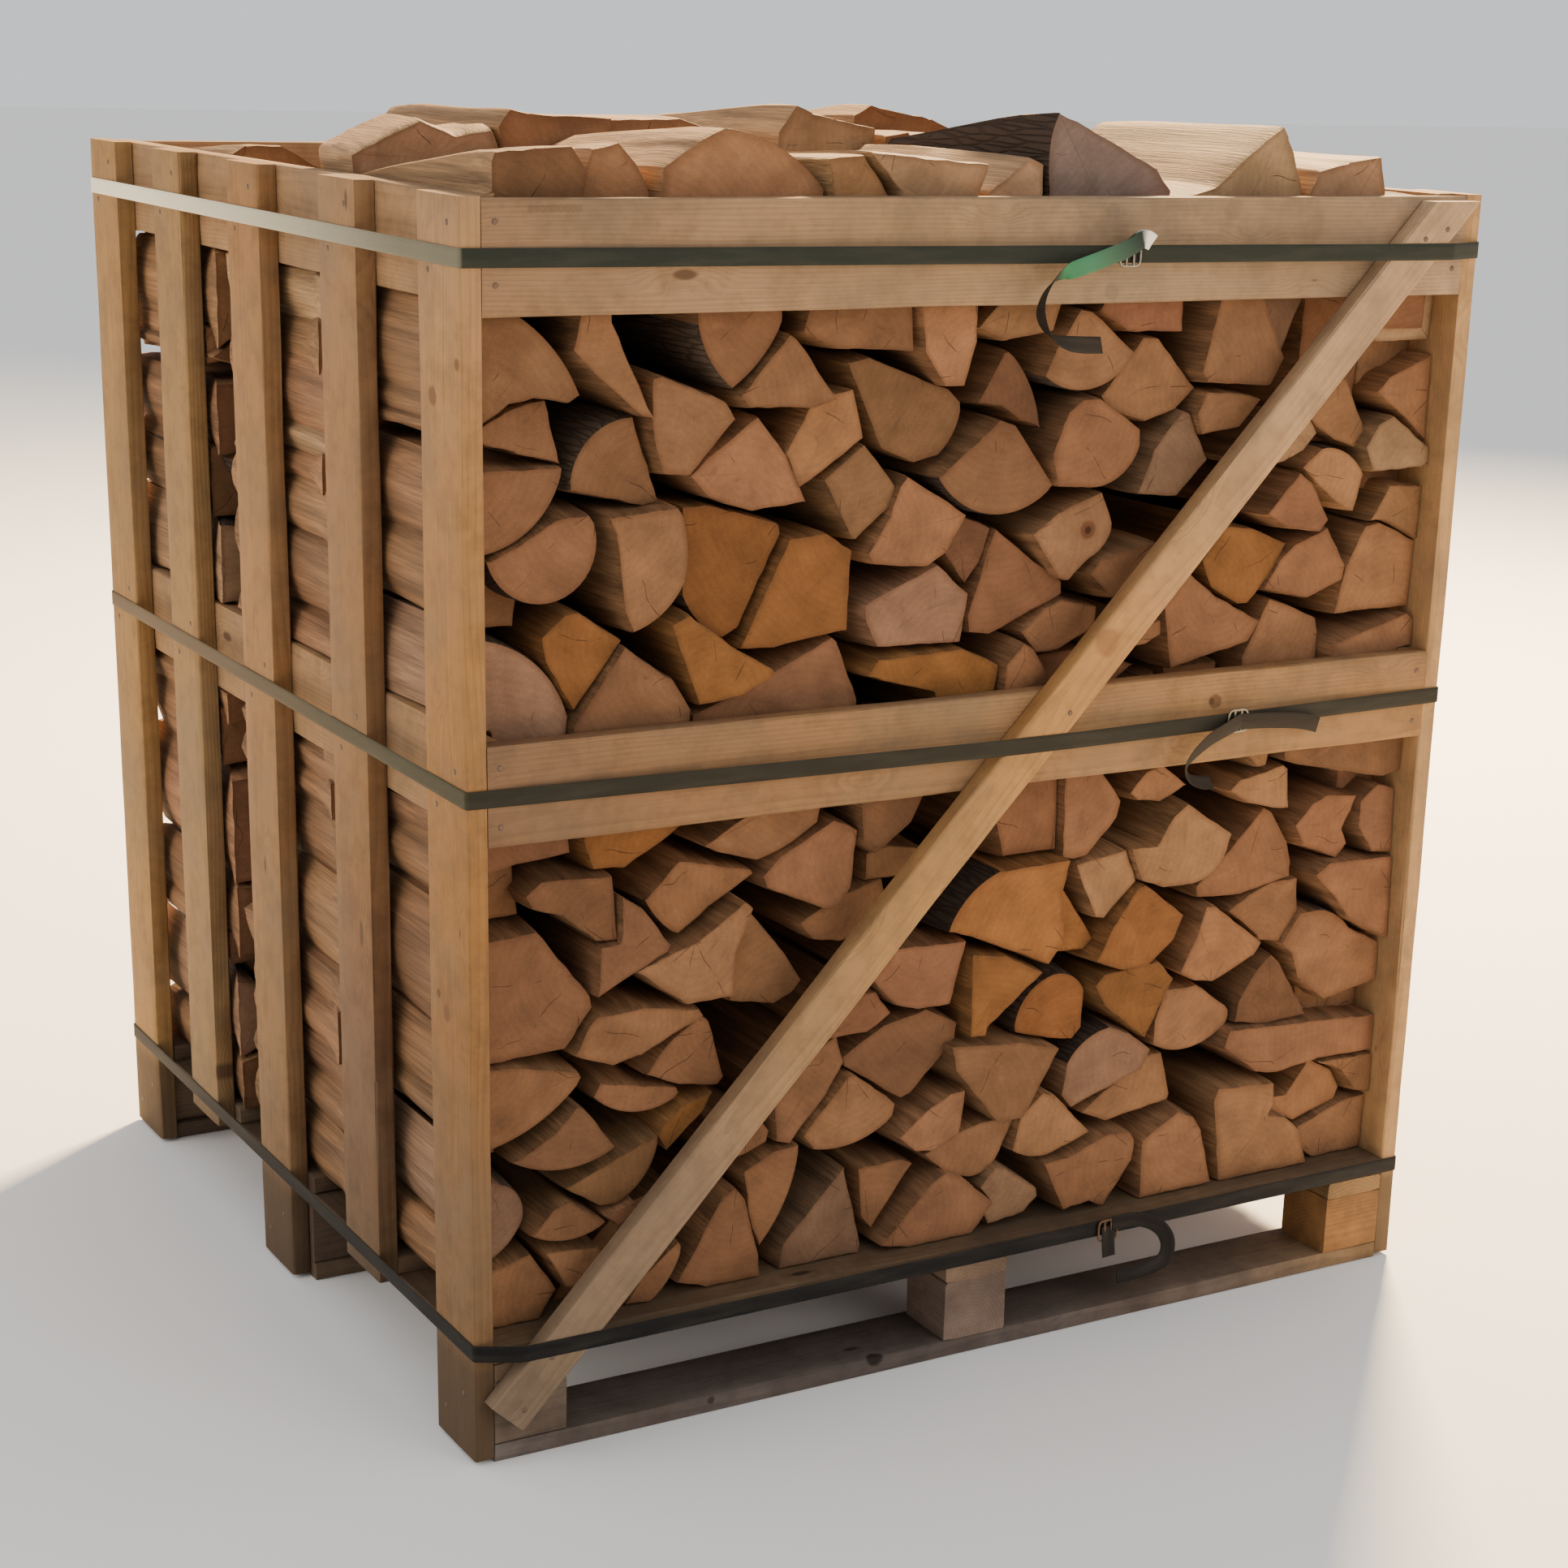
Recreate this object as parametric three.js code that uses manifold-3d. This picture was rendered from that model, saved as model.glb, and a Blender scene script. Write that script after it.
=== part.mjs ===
// Pallet of split firewood: a small block pallet with slatted sides, one diagonal brace
// at the front and one at the back, three straps, and split logs stacked in three rows.
//
// Millimetres, +Z up, origin on the ground in the middle of the pallet. The face with the
// log ends is the front, at -Y. The logs lie along Y; the slatted sides are at -X and +X.

import * as THREE from 'three';
import Module from 'manifold-3d';
import { mergeVertices } from 'three/addons/utils/BufferGeometryUtils.js';

// Overall sizes of the crate
const WIDTH = 1200;
const DEPTH = 1110;
const HEIGHT = 1250;
const GAP = 0.3;

// Pallet, from the ground up: bottom boards, blocks, stringers, deck boards
const PALLET_BOARD = 20;
const BLOCK_HEIGHT = 69;
const BLOCK_WIDTH = 80;
const BOTTOM_BOARD_WIDTH = 90;
const DECK_BOARD_WIDTH = 98;
const DECK_BOARD_COUNT = 5;

// Slats, rails and braces
const BOARD_THICK = 22;
const BOARD_WIDTH = 98;
const RAIL_WIDTH = 100;
const SLAT_PLACES = [-506, -253, 20, 272, 506];
const SLAT_GROUND_CLEARANCE = 5;
const SHORT_SLAT_BOTTOM = 103;
const MIDDLE_RAIL_BOTTOM = 648;
const FACE_RAIL_DROP = 1.5;
const FACE_RAIL_EXTRA = 5;
const BRACE_WIDTH = 48;
const BRACE_FOOT = [-573, 56];
const BRACE_TOP = [547, 1244];

// Polyester straps with a wire buckle each
const STRAP_WIDTH = 17.5;
const STRAP_THICK = 1;
const WIRE = 3.2;

// Log rows: three lengths of logs, one behind another
const LOG_LENGTH = 330;
const ROW_PITCH = 357;
const END_STEP = 7;
const ROW_TOP = 1169.7;
const ROW_DEPTH = LOG_LENGTH + 3 * END_STEP;
const FRONT_ROW = { grow: 8, smallest: 0, frontStep: END_STEP, backStep: 0 };
const MIDDLE_ROW = { grow: 26, smallest: 4900, frontStep: 0, backStep: 0 };
const BACK_ROW = { grow: 16, smallest: 3500, frontStep: 0, backStep: END_STEP };

const PALLET_WIDTH = WIDTH - 2 * BOARD_THICK;
const DECK_TOP = 3 * PALLET_BOARD + BLOCK_HEIGHT;

const sawnWood = new THREE.MeshStandardMaterial({ color: 0xa88660, roughness: 0.85, metalness: 0 });
const palletWood = new THREE.MeshStandardMaterial({ color: 0x6e5a48, roughness: 0.9, metalness: 0 });
const firewood = new THREE.MeshStandardMaterial({ color: 0xa9764c, roughness: 0.85, metalness: 0 });
const webbing = new THREE.MeshStandardMaterial({ color: 0x3f5a45, roughness: 0.6, metalness: 0 });
const steelWire = new THREE.MeshStandardMaterial({ color: 0xa8a69c, roughness: 0.4, metalness: 0.9 });

const wasm = await Module();
wasm.setup();

const crate = new THREE.Group();

function addPiece(name, geometry, material) {
  const mesh = new THREE.Mesh(geometry, material);
  mesh.name = name;
  crate.add(mesh);
}

// A straight board between its lowest and highest corners
function addBoard(name, low, high, material) {
  const size = high.map((value, axis) => value - low[axis]);
  const board = new THREE.BoxGeometry(...size);
  board.translate(...low.map((value, axis) => value + size[axis] / 2));
  addPiece(name, board, material);
}

function toManifold(geometry) {
  const bare = geometry.clone();
  bare.deleteAttribute('normal');
  bare.deleteAttribute('uv');
  const merged = mergeVertices(bare, 1e-4);
  return new wasm.Manifold(new wasm.Mesh({
    numProp: 3,
    vertProperties: new Float32Array(merged.attributes.position.array),
    triVerts: new Uint32Array(merged.index.array),
  }));
}

function fromManifold(manifold) {
  const mesh = manifold.getMesh();
  const geometry = new THREE.BufferGeometry();
  geometry.setAttribute('position', new THREE.BufferAttribute(new Float32Array(mesh.vertProperties), 3));
  geometry.setIndex(new THREE.BufferAttribute(new Uint32Array(mesh.triVerts), 1));
  return geometry;
}

// Pallet: bottom boards along X, nine blocks, stringers along Y, deck boards along X
const outerBlock = (PALLET_WIDTH - BLOCK_WIDTH) / 2;
const blockColumns = { left: -outerBlock, middle: 0, right: outerBlock };
const blockLines = { front: -(DEPTH - BLOCK_WIDTH) / 2, centre: 0, back: (DEPTH - BLOCK_WIDTH) / 2 };
const BLOCK_BOTTOM = PALLET_BOARD;
const BLOCK_TOP = BLOCK_BOTTOM + BLOCK_HEIGHT;
const outerBoard = (DEPTH - BOTTOM_BOARD_WIDTH) / 2;
const boardLines = { front: -outerBoard, centre: 0, back: outerBoard };

for (const [line, y] of Object.entries(boardLines)) {
  addBoard(`bottom_board_${line}`,
    [-PALLET_WIDTH / 2, y - BOTTOM_BOARD_WIDTH / 2, 0],
    [PALLET_WIDTH / 2, y + BOTTOM_BOARD_WIDTH / 2, PALLET_BOARD], palletWood);
}
for (const [column, x] of Object.entries(blockColumns)) {
  for (const [line, y] of Object.entries(blockLines)) {
    addBoard(`block_${column}_${line}`,
      [x - BLOCK_WIDTH / 2, y - BLOCK_WIDTH / 2, BLOCK_BOTTOM],
      [x + BLOCK_WIDTH / 2, y + BLOCK_WIDTH / 2, BLOCK_TOP], palletWood);
  }
  addBoard(`stringer_${column}`,
    [x - BLOCK_WIDTH / 2, -DEPTH / 2, BLOCK_TOP],
    [x + BLOCK_WIDTH / 2, DEPTH / 2, BLOCK_TOP + PALLET_BOARD], palletWood);
}
for (let i = 0; i < DECK_BOARD_COUNT; i += 1) {
  const y = (i / (DECK_BOARD_COUNT - 1) - 0.5) * (DEPTH - DECK_BOARD_WIDTH);
  addBoard(`deck_board_${i + 1}`,
    [-PALLET_WIDTH / 2, y - DECK_BOARD_WIDTH / 2, DECK_TOP - PALLET_BOARD],
    [PALLET_WIDTH / 2, y + DECK_BOARD_WIDTH / 2, DECK_TOP], palletWood);
}

// Slatted sides: slats over the blocks reach down beside the pallet, the others stop at
// its stringer, and two rails inside hold the slats together
const railHeights = { top: HEIGHT - RAIL_WIDTH, middle: MIDDLE_RAIL_BOTTOM };
const RAIL_END = DEPTH / 2 - BOARD_THICK;

for (const [side, outward] of [['left', -1], ['right', 1]]) {
  const outer = outward * WIDTH / 2;
  const inner = outer - outward * BOARD_THICK;
  SLAT_PLACES.forEach((y, i) => {
    const bottom = i % 2 === 0 ? SLAT_GROUND_CLEARANCE : SHORT_SLAT_BOTTOM;
    addBoard(`slat_${side}_${i + 1}`,
      [Math.min(outer, inner), y - BOARD_WIDTH / 2, bottom],
      [Math.max(outer, inner), y + BOARD_WIDTH / 2, HEIGHT], sawnWood);
  });
  const railInner = inner - outward * BOARD_THICK;
  for (const [level, bottom] of Object.entries(railHeights)) {
    addBoard(`rail_${side}_${level}`,
      [Math.min(inner, railInner), -RAIL_END, bottom],
      [Math.max(inner, railInner), RAIL_END, bottom + RAIL_WIDTH], sawnWood);
  }
}

// A prism along Y from an outline of [x, z] corners, without any rounding of its ends
function prism(corners, yFront, yBack) {
  const shape = new THREE.Shape(corners.map(([x, z]) => new THREE.Vector2(x, z)));
  const geometry = new THREE.ExtrudeGeometry(shape, { depth: yBack - yFront, bevelEnabled: false });
  geometry.applyMatrix4(new THREE.Matrix4().set(1, 0, 0, 0, 0, 0, -1, yBack, 0, 1, 0, 0, 0, 0, 0, 1));
  return geometry;
}

// Brace: square cut at its foot, level cut at its top
const braceSlope = Math.atan2(BRACE_TOP[1] - BRACE_FOOT[1], BRACE_TOP[0] - BRACE_FOOT[0]);
const footAcross = [-Math.sin(braceSlope) * BRACE_WIDTH / 2, Math.cos(braceSlope) * BRACE_WIDTH / 2];
const topHalf = BRACE_WIDTH / 2 / Math.sin(braceSlope);
const braceOutline = [
  [BRACE_FOOT[0] + footAcross[0], BRACE_FOOT[1] + footAcross[1]],
  [BRACE_FOOT[0] - footAcross[0], BRACE_FOOT[1] - footAcross[1]],
  [BRACE_TOP[0] + topHalf, BRACE_TOP[1]],
  [BRACE_TOP[0] - topHalf, BRACE_TOP[1]],
];

// Front and back: two rails nailed between the corner slats, and the brace over them. The
// upper rail is a little wider than the others and sits a little below the slat ends.
const faceRails = {
  top: [HEIGHT - FACE_RAIL_DROP - RAIL_WIDTH - FACE_RAIL_EXTRA, HEIGHT - FACE_RAIL_DROP],
  middle: [MIDDLE_RAIL_BOTTOM, MIDDLE_RAIL_BOTTOM + RAIL_WIDTH],
};
for (const [face, outward] of [['front', -1], ['back', 1]]) {
  const outer = outward * DEPTH / 2;
  const inner = outer - outward * BOARD_THICK;
  const proud = outer + outward * BOARD_THICK;
  for (const [level, [low, high]] of Object.entries(faceRails)) {
    addBoard(`rail_${face}_${level}`,
      [-PALLET_WIDTH / 2, Math.min(outer, inner), low],
      [PALLET_WIDTH / 2, Math.max(outer, inner), high], sawnWood);
  }
  const outline = braceOutline.map(([x, z]) => [-outward * x, z]);
  addPiece(`brace_${face}`, prism(outline, Math.min(outer, proud), Math.max(outer, proud)), sawnWood);
}

// Split logs, each an outline of [x, z] corners on the front plane of its row. A third
// number on a corner is how far the bark bulges beyond the straight line to the next one.
// Logs seen above the middle rails of the front
const upperLogs = [
  [[-577, 1040], [-577, 1146], [-537, 1146, 9], [-469, 1068], [-480, 1061], [-512, 1067], [-540, 1062]],
  [[-577, 1031], [-540, 1052], [-517, 1061], [-496, 1064], [-481, 1002], [-527, 1014], [-577, 1028]],
  [[-577, 1001], [-481, 1000, 22], [-577, 920]],
  [[-563, 916], [-530, 930], [-490, 953], [-455, 956, 64]],
  [[-440, 953], [-364, 959, 6], [-357, 885, 8], [-412, 839], [-422, 860], [-432, 935]],
  [[-352, 955], [-325, 957], [-243, 933], [-241, 922], [-288, 832], [-307, 822, 6], [-351, 868]],
  [[-236, 918], [-192, 922], [-162, 902], [-164, 820], [-250, 809], [-290, 811]],
  [[-391, 1080], [-380, 1083], [-312, 1057], [-300, 1040], [-350, 986], [-379, 989], [-390, 1025]],
  [[-478, 1110], [-462, 1165], [-436, 1165], [-440, 1144], [-391, 1042], [-405, 1046], [-452, 1084]],
  [[-472, 977, 20], [-405, 1044], [-376, 962], [-395, 958]],
  [[-348, 986], [-330, 1001], [-272, 1041], [-240, 1002], [-215, 953], [-278, 947], [-328, 964]],
  [[-346, 1168], [-250, 1168], [-251, 1130, 6], [-305, 1068, 7], [-343, 1130]],
  [[-299, 1062], [-245, 1120], [-236, 1114], [-190, 1054], [-215, 1047], [-290, 1050]],
  [[-577, 842, 22], [-474, 758], [-480, 705], [-555, 705], [-555, 750], [-577, 750]],
  [[-505, 840], [-480, 860], [-465, 861], [-418, 830], [-471, 764], [-502, 818]],
  [[-420, 826], [-388, 802], [-368, 790], [-346, 756], [-350, 705], [-470, 705], [-474, 750]],
  [[-371, 843], [-352, 853], [-302, 817], [-257, 790], [-258, 783], [-290, 767], [-340, 760]],
  [[-338, 705], [-338, 748], [-290, 764], [-215, 798], [-178, 814], [-172, 808], [-148, 748],
    [-150, 705]],
  [[-241, 1003], [-217, 1044], [-197, 1066], [-188, 1059], [-165, 1063], [-152, 1014], [-200, 982],
    [-226, 968]],
  [[-228, 1118], [-215, 1168], [-105, 1168], [-102, 1098], [-190, 1103]],
  [[-103, 1168], [-30, 1168], [-30, 1105], [-42, 1062], [-67, 1063], [-92, 1097]],
  [[-170, 1088], [-145, 1092], [-92, 1073], [-50, 1058], [-34, 1044, 6], [-60, 992], [-90, 985],
    [-128, 1000]],
  [[-198, 975], [-152, 1009], [-113, 964], [-118, 944], [-158, 912], [-164, 915]],
  [[-113, 965], [-104, 975], [-65, 953], [-30, 932], [-52, 894], [-76, 880], [-142, 887], [-148, 899],
    [-124, 934]],
  [[-72, 972], [-30, 1003], [2, 1028], [20, 1022], [71, 957, 34]],
  [[-16, 1042], [14, 1092], [22, 1094, 8], [64, 1014], [40, 1022], [12, 1038]],
  [[-22, 1118], [6, 1146], [8, 1168], [88, 1168], [70, 1112], [14, 1104]],
  [[58, 1068], [70, 1094], [100, 1136], [116, 1132], [168, 1090, 26]],
  [[84, 1032], [102, 1044], [125, 1045], [178, 1012], [179, 992, 12], [118, 952], [76, 956], [66, 990]],
  [[136, 1044], [188, 1104], [208, 1103], [262, 1048], [238, 1027], [196, 1015], [150, 1028]],
  [[128, 1132], [150, 1168], [232, 1168], [234, 1108], [166, 1110]],
  [[51, 906], [84, 928], [138, 947], [154, 912, 6], [125, 877], [99, 855], [86, 858]],
  [[121, 862], [136, 876], [205, 892], [215, 850], [150, 834]],
  [[-16, 806], [-18, 824], [13, 914], [62, 878], [101, 852], [102, 838], [12, 802]],
  [[-148, 846], [-60, 882], [-20, 848], [-28, 797], [-130, 800], [-144, 826]],
  [[-146, 773], [-132, 790], [-30, 793], [18, 772], [10, 720], [-60, 720], [-62, 749], [-125, 766]],
  [[20, 772], [42, 795], [56, 786], [76, 757], [72, 705], [16, 705]],
  [[50, 801], [78, 824], [102, 833], [148, 822], [146, 800], [100, 778], [72, 777]],
  [[186, 940], [198, 968], [206, 988], [240, 1026], [250, 1024], [278, 972], [240, 935]],
  [[255, 1024], [267, 1046], [310, 1044], [341, 1036], [314, 1006], [262, 1000]],
  [[252, 1066], [262, 1106], [278, 1168], [318, 1168], [364, 1078], [346, 1050], [262, 1056]],
  [[322, 1168], [402, 1168], [400, 1145], [374, 1084], [366, 1082], [346, 1112]],
  [[488, 1096], [520, 1146], [525, 1168], [555, 1168], [555, 1146], [577, 1146], [577, 1092],
    [500, 1090]],
  [[499, 1037], [516, 1054], [577, 1077], [577, 980], [548, 1004]],
  [[486, 978], [504, 1004], [524, 1012], [577, 974], [577, 953], [500, 950]],
  [[412, 1014], [455, 1060], [470, 1050], [500, 992], [484, 976], [455, 985], [430, 1000]],
  [[360, 960], [412, 1014], [427, 995], [408, 975], [385, 966]],
  [[403, 959], [430, 980, 10], [490, 948], [481, 907], [470, 908], [438, 930]],
  [[352, 912], [397, 956], [415, 943], [442, 901], [430, 887], [384, 894]],
  [[284, 862], [315, 898], [350, 895], [400, 875], [377, 838], [350, 811], [334, 811], [298, 832]],
  [[368, 826], [386, 856], [406, 873], [452, 890], [480, 846], [477, 830], [428, 812]],
  [[226, 818], [258, 854], [295, 826], [361, 792], [345, 770], [238, 749]],
  [[150, 790], [218, 806], [221, 790], [200, 779], [160, 776]],
  [[346, 749], [382, 815], [450, 788], [455, 772], [452, 705], [350, 705]],
  [[472, 790], [482, 846], [504, 888], [524, 893], [577, 868], [577, 793]],
  [[506, 894], [530, 934], [577, 932], [577, 870], [526, 894]],
  [[457, 749], [462, 760], [566, 788], [577, 782], [577, 750], [555, 750], [555, 705], [460, 705]],
];
// Logs seen below the middle rails
const lowerLogs = [
  [[-555, 700], [-555, 646], [-577, 646], [-577, 606], [-527, 615], [-471, 620], [-478, 700]],
  [[-460, 634], [-452, 700], [-335, 700], [-330, 650], [-378, 620], [-415, 600], [-450, 602]],
  [[-528, 586], [-508, 600], [-430, 596], [-425, 528], [-450, 530], [-485, 560], [-518, 571]],
  [[-424, 576], [-400, 560], [-369, 518], [-372, 510], [-435, 480], [-450, 472], [-447, 526],
    [-425, 527]],
  [[-390, 562], [-351, 599], [-267, 580], [-265, 574], [-315, 546], [-352, 520, 4]],
  [[-326, 612], [-270, 644], [-262, 700], [-175, 700], [-196, 622], [-238, 598], [-266, 590],
    [-308, 602]],
  [[-262, 574], [-240, 594], [-178, 626], [-150, 612], [-157, 550], [-170, 532], [-186, 530],
    [-255, 560]],
  [[-166, 700], [-64, 700], [-64, 660], [-90, 614], [-132, 585], [-149, 600], [-150, 636]],
  [[-212, 515], [-168, 538], [-110, 552], [-100, 500], [-160, 487], [-194, 494]],
  [[-577, 542], [-510, 546], [-452, 472], [-450, 460], [-480, 420], [-577, 415]],
  [[-473, 411], [-457, 443], [-449, 451], [-395, 453], [-332, 443], [-328, 434], [-400, 401],
    [-430, 395]],
  [[-408, 494], [-377, 506], [-340, 517], [-285, 553], [-275, 545], [-294, 500], [-296, 452],
    [-350, 450]],
  [[-272, 541], [-228, 487], [-205, 452], [-216, 440], [-240, 430], [-292, 441], [-293, 500]],
  [[-391, 377], [-368, 406], [-328, 434], [-317, 424], [-300, 361], [-308, 353], [-350, 360]],
  [[-577, 413], [-540, 412], [-468, 396], [-465, 388, 12], [-577, 325]],
  [[-545, 312], [-500, 335], [-474, 362], [-465, 358], [-430, 310, 16]],
  [[-447, 360], [-440, 375], [-350, 356], [-347, 347, 18]],
  [[-376, 306], [-370, 320], [-348, 338], [-312, 348], [-322, 328], [-367, 290]],
  [[-486, 272], [-400, 305], [-377, 310, 12], [-427, 245], [-446, 246]],
  [[-524, 228], [-500, 255], [-482, 260], [-441, 230, 12]],
  [[-577, 294], [-550, 285, 10], [-525, 240, 8], [-577, 196]],
  [[-577, 192], [-550, 198], [-520, 205], [-490, 160], [-510, 130], [-577, 130]],
  [[-508, 206], [-446, 201], [-440, 190], [-470, 160], [-484, 162]],
  [[-443, 236], [-412, 246], [-400, 236], [-427, 222]],
  [[-300, 262], [-300, 300], [-262, 304], [-250, 300], [-240, 290], [-243, 276], [-268, 266]],
  [[-274, 250], [-240, 267], [-207, 270, 10], [-255, 162], [-267, 194]],
  [[-357, 142], [-302, 230], [-286, 236], [-275, 222], [-258, 156], [-256, 130], [-320, 130]],
  [[-420, 132], [-400, 160], [-358, 192], [-352, 186, 6], [-390, 130]],
  [[-236, 330], [-192, 368], [-160, 384], [-150, 352], [-170, 320], [-216, 270], [-234, 276]],
  [[-182, 383], [-135, 430], [-118, 428], [-98, 401], [-126, 383]],
  [[-126, 444], [-100, 476], [-8, 472], [-28, 402], [-70, 403], [-96, 411], [-118, 432]],
  [[-6, 458], [38, 451], [88, 425], [20, 372], [17, 361], [-4, 362]],
  [[-152, 358], [-105, 386], [-50, 398], [-11, 377], [-13, 357], [-66, 301], [-78, 297], [-150, 346]],
  [[-204, 278], [-150, 338], [-140, 338], [-88, 297], [-92, 282, 12], [-190, 260]],
  [[-88, 258], [-50, 286], [-20, 300], [-2, 300], [-8, 250], [-40, 235], [-66, 238]],
  [[-27, 356], [62, 348], [115, 333], [96, 300], [70, 257], [35, 258], [-20, 325]],
  [[66, 352, 14], [116, 413, 8], [157, 390], [156, 346], [142, 333], [112, 338]],
  [[-52, 232], [-8, 250], [20, 256], [70, 258], [50, 216, 10], [4, 194], [-22, 203]],
  [[70, 256], [100, 281], [120, 272], [168, 222], [118, 205, 6], [62, 217]],
  [[-110, 137], [-50, 198], [-30, 210], [-5, 200], [36, 162], [8, 130], [-76, 130]],
  [[-130, 226], [-76, 228], [-60, 220], [-112, 152], [-126, 170]],
  [[-231, 130], [-227, 158], [-150, 234], [-128, 140], [-130, 130]],
  [[20, 181], [40, 203], [52, 200], [99, 166], [100, 156], [82, 139], [34, 133], [26, 150], [36, 162]],
  [[101, 197], [135, 200], [190, 218], [220, 215], [227, 204], [224, 182], [185, 131], [165, 140],
    [130, 136]],
  [[160, 243], [190, 262], [247, 296], [272, 298], [288, 244], [285, 237], [195, 226]],
  [[131, 268], [136, 308, 8], [190, 343], [215, 333], [250, 307], [240, 285], [146, 251]],
  [[162, 396], [175, 410], [250, 414], [272, 390], [238, 322], [200, 352], [176, 372]],
  [[-38, 487, 10], [25, 548], [117, 550], [110, 517], [115, 455], [96, 432], [-5, 477]],
  [[112, 458], [111, 518], [125, 508], [168, 447], [155, 435], [100, 440]],
  [[113, 548], [112, 700], [150, 700], [148, 660], [190, 605], [185, 585], [146, 547], [127, 545]],
  [[128, 541], [196, 550], [212, 512], [170, 473], [160, 475], [134, 524]],
  [[198, 552], [234, 552], [252, 582], [272, 596], [336, 554], [330, 534, 8], [284, 501], [248, 501],
    [214, 513]],
  [[204, 609], [226, 632], [248, 638], [283, 612], [248, 595], [216, 600]],
  [[339, 600], [352, 611], [415, 623], [420, 619], [425, 571], [405, 572], [364, 583]],
  [[344, 648], [344, 690], [390, 690], [388, 648], [384, 626], [372, 625]],
  [[402, 700], [555, 700], [555, 647], [577, 647], [577, 603], [552, 597], [428, 623], [402, 632]],
  [[303, 492], [330, 512], [397, 573], [410, 565], [433, 530], [441, 506], [440, 485], [366, 473],
    [304, 478]],
  [[437, 548], [460, 572], [482, 581], [526, 576], [517, 556], [507, 538], [516, 518], [500, 502],
    [452, 522]],
  [[526, 570], [552, 588], [577, 580], [577, 502], [548, 506], [526, 537]],
  [[462, 489], [484, 503], [577, 500], [577, 400], [550, 412], [515, 430], [495, 456]],
  [[352, 456], [384, 473], [415, 483], [453, 483], [456, 442], [430, 408], [400, 414], [396, 420]],
  [[455, 441], [480, 443, 6], [530, 415], [577, 392], [577, 345], [500, 330], [456, 362], [446, 392],
    [430, 408]],
  [[278, 396], [300, 434], [313, 470], [327, 468], [397, 416], [384, 401], [326, 378], [300, 383]],
  [[156, 427], [180, 468], [210, 506], [222, 508], [278, 466], [265, 437], [230, 412], [196, 412]],
  [[257, 308], [257, 338], [271, 373], [315, 373], [362, 340, 8], [350, 310, 8], [277, 299]],
  [[367, 321], [371, 346], [396, 383], [415, 398], [430, 386], [476, 314], [415, 312]],
  [[348, 294], [356, 316], [490, 308], [577, 302], [577, 256], [490, 258], [430, 251], [402, 256]],
  [[335, 232], [340, 249], [422, 243], [426, 220], [418, 203], [446, 196], [468, 176], [484, 130],
    [352, 130]],
  [[422, 203], [430, 217], [457, 215], [490, 256], [526, 236], [541, 212], [535, 197], [473, 180]],
  [[472, 175], [542, 198], [577, 200], [577, 130], [500, 130], [482, 144]],
  [[494, 254], [577, 254], [577, 204], [556, 208], [530, 238]],
  [[236, 130], [236, 201], [286, 229], [308, 220], [322, 200], [340, 132]],
];
// Logs behind the middle rails and logs that lie further in
const hiddenLogs = [
  [[-48, 640], [-56, 706], [12, 706], [20, 640]],
  [[160, 640], [158, 704], [246, 740], [250, 650]],
  [[262, 645], [258, 742], [334, 742], [334, 655]],
  [[80, 704], [84, 770], [150, 772], [220, 748], [152, 706]],
  [[414, 980], [420, 1168], [520, 1168], [512, 1090], [488, 980]],
  [[-482, 130], [-462, 168], [-400, 226], [-346, 240], [-346, 190], [-430, 134]],
  [[-576, 846], [-576, 926], [-535, 930], [-512, 905], [-520, 846]],
  [[-576, 552], [-576, 622], [-524, 620], [-516, 556]],
  [[-576, 306], [-576, 348], [-544, 346], [-540, 308]],
  [[-576, 1018], [-576, 1060], [-500, 1076], [-500, 1030]],
  [[500, 1040], [500, 1096], [576, 1100], [576, 1046]],
  [[500, 925], [500, 958], [576, 962], [576, 922]],
  [[520, 575], [520, 612], [576, 614], [576, 572]],
  [[480, 296], [480, 350], [576, 356], [576, 292]],
];
const recessedLogs = [
  [[-50, 892], [-30, 930], [10, 914], [-3, 877], [-20, 856]],
  [[-131, 580], [-105, 586], [-60, 578], [-60, 550], [-130, 549]],
  [[30, 600], [20, 640], [30, 700], [110, 700], [112, 556], [40, 556]],
];
// Logs on top that stand above the rails in the front row, and how far each falls to the back
const topFrontLogs = [
  [[-555, 1170], [-555, 1252], [-576, 1254], [-576, 1262], [-552, 1288], [-476, 1293], [-462, 1270],
    [-476, 1170]],
  [[-470, 1170], [-455, 1272], [-448, 1289], [-421, 1296], [-403, 1278], [-388, 1250], [-392, 1170]],
  [[-384, 1170], [-380, 1273], [-344, 1296], [-314, 1310, 12], [-204, 1254], [-198, 1170]],
  [[-193, 1170], [-199, 1252], [-205, 1283], [-165, 1287], [-136, 1250], [-144, 1170]],
  [[-161, 1289], [-24, 1279], [-35, 1250], [-50, 1170], [-112, 1170], [-126, 1252]],
  [[-40, 1170], [-12, 1250], [38, 1284], [54, 1277], [54, 1170]],
  [[60, 1170], [57, 1252], [56, 1302], [65, 1328], [100, 1315], [136, 1298], [188, 1275], [208, 1252],
    [196, 1170]],
  [[214, 1170], [212, 1245], [262, 1256], [301, 1289], [345, 1318], [353, 1306], [362, 1290],
    [376, 1252], [372, 1170]],
  [[382, 1170], [382, 1252], [394, 1273], [432, 1282], [476, 1288], [484, 1252], [482, 1170]],
];
const topFrontFalls = [38, 22, 24, 20, 20, 10, 36, 14, 10];
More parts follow.
